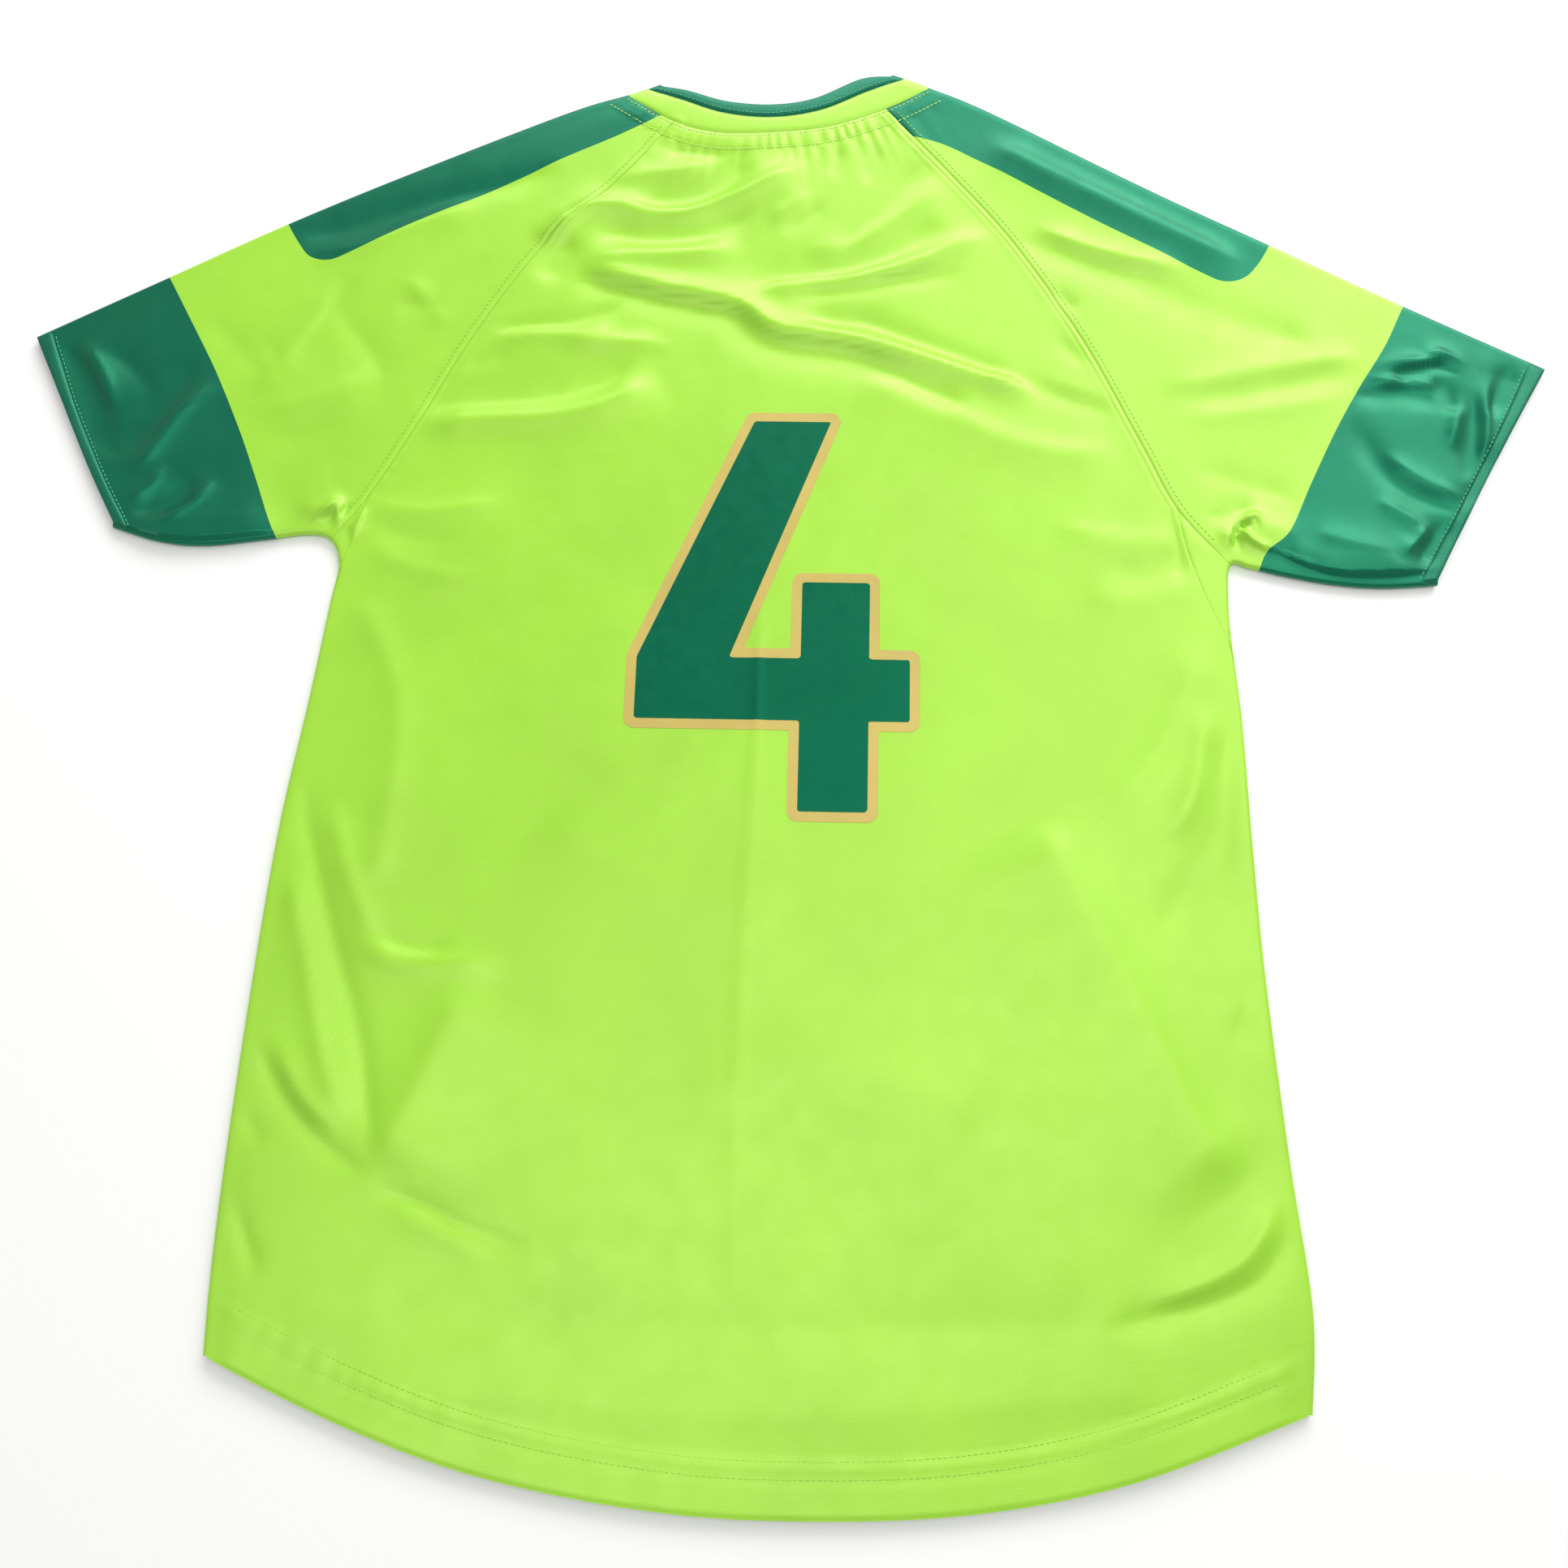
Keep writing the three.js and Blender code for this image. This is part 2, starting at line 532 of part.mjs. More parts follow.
function cuffBand(side) {
  const seams = SEAMS[side];
  const distances = [CUFF_WIDTH - GAP / 2, CUFF_WIDTH / 2, 0];
  const marks = Array.from({ length: 17 }, (_, i) => i / 16);
  const lowerMarks = Array.from({ length: UNDERSIDE_STEPS + 1 }, (_, i) => i / UNDERSIDE_STEPS);
  return flatTube({
    upperRows: distances.map((distance) => spread(cuffLine(side, distance), marks)),
    lowerRows: distances.map((distance) => spread(cuffLine(side, distance), lowerMarks)),
    foldsA: distances.map((distance) => seams.under.fold(distance)),
    foldsB: distances.map((distance) => seams.shoulder.fold(seams.shoulder.length - distance)),
  });
}

// A ring of the collar between two of the neck lines.
function collarRing(from, to) {
  const steps = 2;
  const ends = [from, to].map((column) => COLLAR_ENDS[NECK_COLUMNS.indexOf(column)]);
  const folds = (side) => {
    const path = SHOULDER[side];
    const [start, stop] = ends.map((index) => path.lengthTo(index));
    const stopGap = to === 'edge' ? 0 : GAP / 2;
    return Array.from({ length: steps + 1 }, (_, i) =>
      path.fold(THREE.MathUtils.lerp(start - GAP / 2, stop + stopGap, i / steps)));
  };
  const foldsA = folds('left');
  const foldsB = folds('right');
  const starts = (list) => list.map((fold) => fold.start);
  const rows = (layer) => {
    const first = shiftLine(NECK[from][layer], GAP / 2);
    const last = to === 'edge' ? [...NECK[to][layer]] : shiftLine(NECK[to][layer], -GAP / 2);
    [[first, 0], [last, steps]].forEach(([line, i]) => {
      line[0] = foldsA[i].start;
      line[line.length - 1] = foldsB[i].start;
    });
    return patch(first, last, starts(foldsA), starts(foldsB));
  };
  return flatTube({ upperRows: rows('back'), lowerRows: rows('front'), foldsA, foldsB });
}

// Distance along the folded edge of a side row, counted from the hem: down to the slide, through
// it up to where the seam crosses the edge, and on to the armpit.
function sideDistance({ under, crossing, armpit }, i) {
  const slideEnd = crossing + SLIDE_LENGTH;
  if (i <= LOW_SIDE_STEPS) return THREE.MathUtils.lerp(under.length, slideEnd, i / LOW_SIDE_STEPS);
  if (i <= SIDE_STEPS) {
    return THREE.MathUtils.lerp(slideEnd, crossing, (i - LOW_SIDE_STEPS) / SLIDE_STEPS);
  }
  return THREE.MathUtils.lerp(crossing, armpit + GAP / 2, (i - SIDE_STEPS) / SIDE_SEAM_STEPS);
}

// The rows of the body's folded side that the back and the side panel share, from the hem to the
// side seam's top: the fold, the front seam underneath, and how far past the start of the turn the
// seam between the two pieces lies. Above the crossing that seam is on the upper layer.
function sideRows(side) {
  const seams = SEAMS[side];
  const { under } = seams;
  const rows = [];
  const frontTop = seams.frontLow[SIDE_SEAM_STEPS];
  for (let i = 0; i <= SIDE_STEPS + SIDE_SEAM_STEPS; i += 1) {
    const distance = sideDistance(seams, i);
    const travelled = (under.length - distance) / (under.length - seams.armpit);
    const slide = clamp01((distance - seams.crossing) / SLIDE_LENGTH);
    const wrap = slide * (HALF_TURN + EDGE_OVERLAP);
    rows.push({
      fold: under.fold(distance),
      frontSeam: seams.frontHem.clone().lerp(frontTop, travelled),
      wrap,
      clearance: wrap > 0 && slide < 1 ? SLIDE_CLEARANCE : GAP / 2,
      upperSeam: seams.sideSeam[Math.max(i - SIDE_STEPS, 0)],
    });
  }
  return rows;
}

// A place on a side row, at a distance past the start of its turn.
function onSideRow(row, distance, upperPoint) {
  if (distance <= 0) return upper(upperPoint(distance));
  if (distance < HALF_TURN) return turning(row.fold, distance / HALF_TURN);
  const inward = row.frontSeam.clone().sub(row.fold.start).normalize();
  return lower(row.fold.start.clone().addScaledVector(inward, distance - HALF_TURN));
}

function sidePanel(side) {
  const seams = SEAMS[side];
  const rows = sideRows(side);
  const topRow = rows.length - 1;
  const raglan = shiftLine(seams.backLow, (-inwards(side) * GAP) / 2);
  const frontRaglan = shiftLine(seams.frontLow, (-inwards(side) * GAP) / 2);
  const underside = 4;
  return wallGeometry(
    rows.map((row, i) => {
      const { fold } = row;
      const onTop = i > SIDE_STEPS;
      const seamDistance = onTop ? -fold.start.distanceTo(row.upperSeam) : row.wrap;
      const start = seamDistance + row.clearance;
      const width = row.frontSeam.distanceTo(fold.start) + HALF_TURN - GAP / 2;
      const turnStart = Math.max(0, start + 2.4);
      const turnEnd = Math.max(HALF_TURN, turnStart + 4);
      const towardSeam = row.upperSeam.clone().sub(fold.start).normalize();
      const upperPoint = (distance) => fold.start.clone().addScaledVector(towardSeam, -distance);
      const marks = [
        ...Array.from({ length: SIDE_SEAM_STEPS }, (_, j) =>
          THREE.MathUtils.lerp(start, turnStart, j / SIDE_SEAM_STEPS)),
        ...Array.from({ length: TURN_STEPS }, (_, j) =>
          THREE.MathUtils.lerp(turnStart, turnEnd, j / TURN_STEPS)),
        ...Array.from({ length: underside + 1 }, (_, j) =>
          THREE.MathUtils.lerp(turnEnd, width, j / underside)),
      ];
      const places = marks.map((distance) => onSideRow(row, distance, upperPoint));
      if (i === topRow) {
        const down = [...raglan].reverse();
        down[0].addScaledVector(towardSeam, -GAP / 2);
        down.slice(0, -1).forEach((point, j) => { places[j] = upper(point); });
        const up = spread(frontRaglan, Array.from({ length: underside + 1 }, (_, j) => j / underside));
        up.slice(1).forEach((point, j) => { places[SIDE_SEAM_STEPS + TURN_STEPS + 1 + j] = lower(point); });
      }
      return places;
    }),
  );
}

function backPanel() {
  const sides = ['left', 'right'].map((side) => {
    const seams = SEAMS[side];
    const rows = sideRows(side).map((row, i) => ({
      ...row,
      end: i > SIDE_STEPS ? row.upperSeam : row.fold.start,
    }));
    const raglan = shiftLine(seams.backHigh, (-inwards(side) * GAP) / 2).slice(1);
    raglan.forEach((end) => rows.push({ end, wrap: 0, clearance: 0 }));
    return rows;
  });
  const [leftRows, rightRows] = sides;
  const hemEnds = [leftRows[0].end, rightRows[0].end];
  const hem = new THREE.SplineCurve([
    hemEnds[0], ...HEM.map((row) => vector(row.x, row.y)), hemEnds[1],
  ]).getPoints(90);
  const neckPart = NECK.seam.back.slice(NECK_END_STEPS, -NECK_END_STEPS);
  const neck = shiftLine(neckPart, -GAP / 2);
  const topRow = leftRows.length - 1;
  leftRows[topRow].end = neck[0].clone().add(vector(GAP / 2, 0));
  rightRows[topRow].end = neck[neck.length - 1].clone().add(vector(-GAP / 2, 0));
  neck[0] = leftRows[topRow].end;
  neck[neck.length - 1] = rightRows[topRow].end;
  const corners = [hem[0], hem[hem.length - 1], neck[0], neck[neck.length - 1]];
  const leftMarks = fractions(leftRows.map((row) => row.end));
  const rightMarks = fractions(rightRows.map((row) => row.end));
  return wallGeometry(
    leftRows.map((left, i) => {
      const right = rightRows[i];
      const b = 0.5 * (leftMarks[i] + rightMarks[i]);
      const width = left.end.distanceTo(right.end);
      const onRow = (a) =>
        upper(blend(a, b, alongLine(hem, a), alongLine(neck, a), left.end, right.end, corners));
      const endMarks = (row) => {
        const seam = row.wrap - row.clearance;
        const turnEnd = Math.min(seam - 1.2, HALF_TURN);
        const turnStart = Math.min(0, turnEnd - 3);
        return [
          seam,
          ...Array.from({ length: TURN_STEPS + 1 }, (_, j) =>
            THREE.MathUtils.lerp(turnEnd, turnStart, j / TURN_STEPS)),
        ];
      };
      const place = (row, distance, flip) => {
        if (distance <= 0) return onRow(flip ? 1 + distance / width : -distance / width);
        return onSideRow(row, distance);
      };
      const leftEnd = endMarks(left);
      const rightEnd = endMarks(right);
      const first = -leftEnd[leftEnd.length - 1] / width;
      const last = 1 + rightEnd[rightEnd.length - 1] / width;
      const middle = Array.from({ length: BACK_STEPS - 1 }, (_, j) =>
        onRow(THREE.MathUtils.lerp(first, last, (j + 1) / BACK_STEPS)));
      return [
        ...leftEnd.map((distance) => place(left, distance, false)),
        ...middle,
        ...rightEnd.map((distance) => place(right, distance, true)).reverse(),
      ];
    }),
  );
}

// The front lies flat underneath: a plate bounded by its hem, side seams, raglans and front neck.
function frontPanel() {
  const outline = (side) => {
    const seams = SEAMS[side];
    const rows = sideRows(side).map((row) => row.frontSeam);
    rows[0] = rows[0].clone().add(vector(0, HEM_SHORTER));
    return [...rows, ...seams.frontHigh.slice(1)];
  };
  const hem = new THREE.SplineCurve(HEM.slice(1, -1).map((row) => vector(row.x, row.y + HEM_SHORTER)));
  const neck = NECK.seam.front.slice(NECK_END_STEPS + 1, -NECK_END_STEPS - 1);
  const left = outline('left');
  const right = outline('right');
  const hemPoints = hem.getPoints(24).filter((point) => point.x > left[0].x + 8 && point.x < right[0].x - 8);
  const loop = [...hemPoints, ...right, ...neck.reverse(), ...left.reverse()];
  const closed = [loop[loop.length - 1], ...loop, loop[0]];
  const inset = shiftLine(closed, GAP / 2).slice(1, -1);
  return new THREE.ExtrudeGeometry(new THREE.Shape(inset), { depth: WALL, bevelEnabled: false });
}

function cloth(name, geometry, colour) {
  const material = new THREE.MeshStandardMaterial({ color: colour, roughness: 0.55, metalness: 0 });
  const mesh = new THREE.Mesh(geometry, material);
  mesh.name = name;
  return mesh;
}

const jersey = new THREE.Group();
jersey.add(cloth('back_panel', backPanel(), LIME));
jersey.add(cloth('front_panel', frontPanel(), LIME));
['left', 'right'].forEach((side) => {
  jersey.add(cloth(`side_panel_${side}`, sidePanel(side), LIME));
  jersey.add(cloth(`sleeve_${side}`, sleeve(side), LIME));
  jersey.add(cloth(`cuff_band_${side}`, cuffBand(side), GREEN));
});
jersey.add(cloth('collar_band', collarRing('seam', 'band'), LIME));
jersey.add(cloth('collar_binding', collarRing('band', 'edge'), GREEN));

export default jersey;
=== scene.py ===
import logging
import math
from dataclasses import dataclass
from enum import Enum
from typing import NamedTuple

import bpy
import numpy as np
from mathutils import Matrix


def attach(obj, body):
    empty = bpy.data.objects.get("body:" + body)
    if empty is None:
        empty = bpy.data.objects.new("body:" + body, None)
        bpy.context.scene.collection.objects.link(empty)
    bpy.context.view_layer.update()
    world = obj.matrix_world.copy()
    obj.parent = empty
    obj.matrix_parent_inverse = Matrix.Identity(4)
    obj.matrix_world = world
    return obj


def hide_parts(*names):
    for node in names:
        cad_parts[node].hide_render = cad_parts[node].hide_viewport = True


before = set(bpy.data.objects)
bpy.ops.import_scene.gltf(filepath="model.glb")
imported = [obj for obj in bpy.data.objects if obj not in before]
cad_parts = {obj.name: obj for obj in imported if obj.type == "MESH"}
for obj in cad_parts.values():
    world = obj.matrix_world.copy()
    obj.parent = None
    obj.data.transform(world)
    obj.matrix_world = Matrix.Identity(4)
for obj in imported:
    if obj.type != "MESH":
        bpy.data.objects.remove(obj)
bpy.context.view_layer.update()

LOG = logging.getLogger("jersey")
MM = 0.001
Array = np.ndarray
Colour = tuple[int, int, int]
Material = bpy.types.Material
Piece = bpy.types.Object
Socket = bpy.types.NodeSocket

# Cloth and clearances
CLOTH = 0.9
SEAM_GAP = 0.12
SLIDE_GAP = 0.2

# How high the upper layer lies, and how softly it settles on the layer below
CONTACT = 2.7
SOFTNESS = 1.4
LOFT = 1.7
LEAST_LIFT = 0.15

# A crease's cross-section, and how far in from its ends it tapers
SHARPNESS = 0.3
SPREAD = 0.75
TAPER_SHARE = 0.36
TAPER_MOST = 26.0

# Folded edges: the cloth turns through half a circle there
EDGE_RADIUS = 2.3
EDGE_BLEND = 17.0
HALF_TURN = math.pi * EDGE_RADIUS
EDGE_OVERLAP = 6.0

# Narrow pieces, and the stretch over which the side seam slides round the folded edge
CUFF_WIDTH = 9.0
HEM_SHORTER = 3.0
SLIDE_LENGTH = 100.0

# Edges steeper than this are drawn sharp
SHARP_ANGLE = math.radians(78)

# How finely each stretch is divided
TURN_STEPS = 8
LOW_SIDE_STEPS = 110
SLIDE_STEPS = 26
SIDE_SEAM_STEPS = 14
RAGLAN_STEPS = 94
NECK_END_STEPS = 9
NECK_STEPS = 96
BACK_STEPS = 160
SLEEVE_STEPS = 140
UNDERSIDE_STEPS = 16


class Side(Enum):
    """A side of the garment, as it lies in the picture."""

    LEFT = "left"
    RIGHT = "right"

    @property
    def inward(self) -> int:
        """Which way along X the middle of the garment lies."""
        return 1 if self is Side.LEFT else -1


class Layer(Enum):
    """The back lies on top and the front underneath."""

    BACK = "back"
    FRONT = "front"


class Pair(NamedTuple):
    """One landmark of a line that both sides of the garment have."""

    at: str
    left_x: float
    left_y: float
    right_x: float
    right_y: float


class NeckMark(NamedTuple):
    """The neck at one place: its seam, the line where the binding starts and the free edge."""

    at: str
    seam_x: float
    seam_y: float
    band_x: float
    band_y: float
    edge_x: float
    edge_y: float


# One crease: how high it rises (a trough is below 0), how far it reaches to the left and to the
# right of the way it runs, and the points that it runs through.
CreaseRow = tuple[float | tuple[float, float], ...]


class Groove(NamedTuple):
    """A groove (depth above 0) or ridge that runs beside a seam, at a place across it."""

    place: float
    depth: float
    width: float


# Rows of stitches, by their distance from the seam or edge that they follow.
RAGLAN_ROW = 3.5
NECK_ROWS = (2.2, 11.0)
HEM_ROWS = (18.0, 26.0)
BINDING_ROW = 1.9
CUFF_ROW = 1.6

# Grooves that the seams and the rows of stitches draw into the cloth.
RAGLAN_GROOVES = (Groove(0, 0.3, 0.5), Groove(RAGLAN_ROW, 0.16, 0.6), Groove(-2.4, -0.1, 1.6))
NECK_GROOVES = (
    Groove(0, 0.45, 0.7), Groove(NECK_ROWS[0], 0.3, 0.7), Groove(NECK_ROWS[1], 0.35, 0.9),
)
HEM_GROOVES = (Groove(HEM_ROWS[0], 0.32, 1.1), Groove(HEM_ROWS[1], 0.32, 1.1))
SIDE_GROOVE = Groove(0, 0.25, 0.6)
BINDING_GROOVE = Groove(0, 0.7, 0.8)
GROOVE_REACH = 5

# Cloth that is doubled beside a seam: where it starts, is full, ebbs and stops; its lift; how
# far from the seam it is looked for.
RAGLAN_ALLOWANCE = (0.5, 1.8, 5.2, 6.8)
RAGLAN_LIFT = 0.2
RAGLAN_PUCKER = 0.12
RAGLAN_REACH = 9
NECK_TAPE = (0.5, 1.6, 10.6, 12.6)
TAPE_LIFT = 0.4
TAPE_PUCKER = 0.3
GATHERS_LIFT = 0.42
GATHERS_FADE = 11
NECK_REACH = 48
HEM_EDGE = (0, 2.6, 25, 27.5)
HEM_LIFT = 0.5
HEM_PUCKER = 0.22
HEM_REACH = 36

# Folded edge of each side, from the cuff along the underarm, round the armpit and to the hem.
UNDER_EDGE = (
    Pair("cuff", -371, 99, 362, 75.5),
    Pair("band", -344, 91, 333, 73.5),
    Pair("middle", -318, 89, 307, 75),
    Pair("inner", -285, 93, 281, 79.5),
    Pair("near armpit", -260, 96.5, 262, 84),
    Pair("armpit", -247, 93, 251, 85.5),
    Pair("chest", -241, 79, 249, 66),
    Pair("side seam", -243.5, 56, 249.5, 43),
    Pair("waist", -249.5, 0, 253, -4),
    Pair("low waist", -257.5, -65, 255, -70),
    Pair("hip", -262, -130, 258, -140),
    Pair("low hip", -266, -220, 265, -230),
    Pair("skirt", -267.5, -290, 272, -300),
    Pair("hem", -266.5, -336, 269, -348),
)
ARMPIT = 5
CROSSING = {Side.LEFT: 6, Side.RIGHT: 7}

# Folded edge over each shoulder, from the collar's tip to the cuff.
SHOULDER_EDGE = (
    Pair("tip", -76, 392.5, 64, 400),
    Pair("binding", -83, 389.5, 71, 397.5),
    Pair("neck seam", -95, 385, 86, 391),
    Pair("neck end", -132, 371.5, 122, 374),
    Pair("shoulder", -225, 328, 215.5, 321),
    Pair("stripe end", -293, 294, 283, 285),
    Pair("band", -359, 258, 356.5, 246),
    Pair("cuff", -432, 218, 432.5, 207),
)
NECK_SEAM_END = 2

RAGLAN_BACK = (
    Pair("side seam", -228, 120, 223, 118),
    Pair("lower", -207, 160, 203.3, 160),
    Pair("middle", -177.5, 220, 174.6, 220),
    Pair("upper", -139.5, 281, 138, 280.5),
    Pair("shoulder", -98.5, 324, 101, 327.5),
    Pair("neck", -66.5, 365.5, 60, 375.5),
)
RAGLAN_FRONT = (
    Pair("side seam", -216, 142, 210, 142),
    Pair("middle", -172, 225, 168, 228),
    Pair("upper", -128, 288, 122, 294),
    Pair("neck", -89, 342, 80, 350),
)

NECK_BACK = (
    NeckMark("left raglan", -66.5, 365.5, -62, 380.7, -58, 386.5),
    NeckMark("left", -39.5, 358.2, -37, 372, -35, 379.5),
    NeckMark("middle", -8, 358.5, -8, 369.2, -8, 377.5),
    NeckMark("right", 26, 363, 21, 374.5, 17, 382),
    NeckMark("right raglan", 60, 375.5, 50, 388.3, 45, 396),
)
NECK_FRONT = (
    NeckMark("left raglan", -89, 342, -76, 346, -68.5, 348.5),
    NeckMark("left", -66, 303, -56, 313, -51, 319),
    NeckMark("middle", -8, 281, -8, 295, -8, 303),
    NeckMark("right", 52, 307, 43, 317, 38, 323),
    NeckMark("right raglan", 80, 350, 67, 354, 59.5, 356.5),
)

SIDE_SEAM_VIA = Pair("bow", -232.8, 100, 227, 82)
FRONT_SIDE_HEM = Pair("front seam at the hem", -200, -364, 202, -372)
CUFF_EDGE = (Pair("lower", -390, 136, 383, 118), Pair("upper", -411.5, 178, 408, 164))
HEM = (
    (-257, -340), (-200, -364), (-134, -385), (-60, -397.5),
    (10, -401.5), (100, -397), (180, -381), (257, -352),
)

# Where the dark green print meets the lime on each sleeve: the band at the sleeve's end, and the
# stripe over the shoulder with its rounded end.
BAND_PRINT = (
    Pair("over the shoulder", -371, 277, 371, 271),
    Pair("shoulder", -359, 258, 356.5, 246),
    Pair("upper", -341, 227, 344, 220),
    Pair("middle", -323, 195, 328, 194),
    Pair("lower", -305, 158, 313.5, 168),
    Pair("low", -293, 130, 298, 136),
    Pair("near underarm", -284, 108, 283.5, 105),
    Pair("underarm", -277, 92, 270, 92),
    Pair("past the underarm", -272, 76, 264, 74),
)
STRIPE_PRINT = (
    Pair("past the shoulder", -302, 311, 293, 304),
    Pair("end", -293, 295, 284, 287),
    Pair("end low", -284.5, 281, 275.5, 272),
    Pair("round", -277, 272, 267, 263),
    Pair("round low", -266, 269.5, 256, 260.5),
    Pair("corner", -254, 274, 244, 265),
    Pair("outer", -222, 292, 212, 283),
    Pair("middle", -175, 316.5, 180, 301),
    Pair("inner", -129, 340.5, 121, 336),
    Pair("near neck", -101, 354.5, 95, 350.5),
    Pair("neck", -74, 369.5, 75, 357),
    Pair("past the neck", -55, 381, 55, 365),
)

# A plain block figure, anticlockwise from the foot of its upright.
FIGURE = (
    (17, -58), (54, -58), (54, -8), (76, -8), (76, 27), (54, 27), (54, 71), (17, 71),
    (17, 27), (-22, 27), (31, 168), (-12, 168), (-72, 27), (-72, -8), (17, -8),
)
FIGURE_OUTLINE = 5.5

# Ridges and hollows of the upper layer, listed by the part of the garment.
UPPER_BACK: dict[str, CreaseRow] = {
    "neck left": (4.94, 8, 9, (-136, 284), (-118, 303), (-100, 307), (-78, 303.5), (-55, 304),
        (-38, 310.5), (-20, 318), (-2, 328), (16, 338)),
    "neck left hollow": (-4.0, 11, 5, (-114, 291), (-86, 286), (-60, 286), (-36, 292), (-14, 307)),
    "neck drag left": (-4.6, 9, 10, (-14, 338), (-30, 327), (-46, 316), (-66, 311), (-94, 310)),
    "upper ridge": (3.64, 8, 6, (-120, 264), (-108, 271), (-89, 273.6), (-66, 274.5), (-44, 276),
        (-20, 281)),
    "long ridge": (5.28, 9, 5.5, (-121, 267), (-108, 263), (-89, 258), (-67, 252), (-44, 248),
        (-28, 243.6), (-16, 238), (-8, 231), (4, 225.5), (18, 224), (36, 221.4), (64, 214.4),
        (90, 206), (114, 198), (150, 186)),
    "long hollow": (-4.78, 5, 7, (-123, 261), (-108, 256), (-89, 251), (-67, 245), (-44, 240),
        (-28, 236), (-19, 226), (-8, 218.6), (6, 214), (22, 211.7), (42, 208.9), (60, 202),
        (86, 190), (112, 177)),
    "right hollow": (-4.25, 6, 6, (8, 236), (30, 233), (50, 231), (78, 220), (106, 209), (133, 198),
        (169, 184), (194, 175)),
    "branch": (3.83, 5.5, 6, (-19, 246), (-6, 254), (14, 257), (39, 259), (64, 266), (86, 274),
        (106, 284), (126, 291)),
    "branch upper hollow": (-3.5, 11, 6, (-23, 249), (-8, 260), (17, 262), (39, 267), (61, 275.6),
        (78, 286.7), (98, 299)),
    "branch lower hollow": (-2.2, 4, 5, (2, 246), (28, 252), (50, 254.7), (78, 260), (110, 267)),
    "high ridge": (2.03, 9, 9, (8, 275), (40, 284), (64, 298), (84, 314), (97, 331)),
    "collar drag": (-2.62, 7, 8, (86, 344), (70, 322), (56, 304), (40, 288), (24, 273)),
    "left crease": (-4.39, 3, 4, (-170, 226), (-144, 229), (-122, 231), (-104, 237), (-86, 241)),
    "left crease ridge": (3.12, 4, 6, (-168, 219), (-140, 223), (-112, 222), (-88, 225)),
    "left line": (2.6, 4, 4, (-126, 213), (-100, 217), (-74, 217), (-58, 213)),
    "left hollow": (-4.6, 10, 7, (-208, 172), (-183, 180), (-158, 182), (-130, 186), (-108, 192),
        (-92, 199), (-80, 206)),
    "left ridge": (4.8, 9, 15, (-204, 161), (-183, 167), (-158, 169), (-130, 170), (-103, 176),
        (-82, 186), (-66, 196)),
    "under the left ridge": (-0.98, 10, 10, (-198, 157), (-170, 154), (-140, 157), (-98, 173)),
    "raglan pit left": (-4.68, 6, 6, (-122, 287), (-130, 272), (-139, 256)),
    "raglan ridge left": (3.38, 6, 6, (-144, 282), (-134, 292), (-122, 303)),
    "raglan nick left": (-1.8, 4, 4, (-182, 204), (-168, 205), (-154, 212)),
    "right nick": (-1.8, 5, 5, (156, 254), (164, 248), (171, 239)),
    "right curl": (-1.8, 5, 5, (156, 223), (170, 212), (177, 204)),
    "blot ridge": (1.3, 6, 6, (-10, 298), (6, 308), (18, 320)),
    "blot hollow": (-1.3, 5, 5, (-2, 291), (14, 300), (26, 313)),
    "neck left shade": (-2.2, 5, 5, (-76, 350), (-62, 345), (-44, 343), (-28, 342)),
    "gather one": (-1.6, 4, 4, (-24, 350), (-27, 338), (-31, 326)),
    "gather two": (-1.4, 4, 4, (58, 352), (53, 338), (47, 322)),
    "gather three": (-1.2, 3.5, 3.5, (33, 350), (31, 338), (27, 326)),
    "neck shoulder left": (2.2, 8, 8, (-108, 322), (-86, 328), (-58, 332), (-36, 342)),
    "lowest run ridge": (2.31, 9, 16, (44, 198), (64, 192), (91, 178), (127, 160), (164, 151),
        (196, 153)),
    "right run ridge": (2.6, 6, 8, (112, 203), (136, 195), (164, 190), (194, 184)),
}
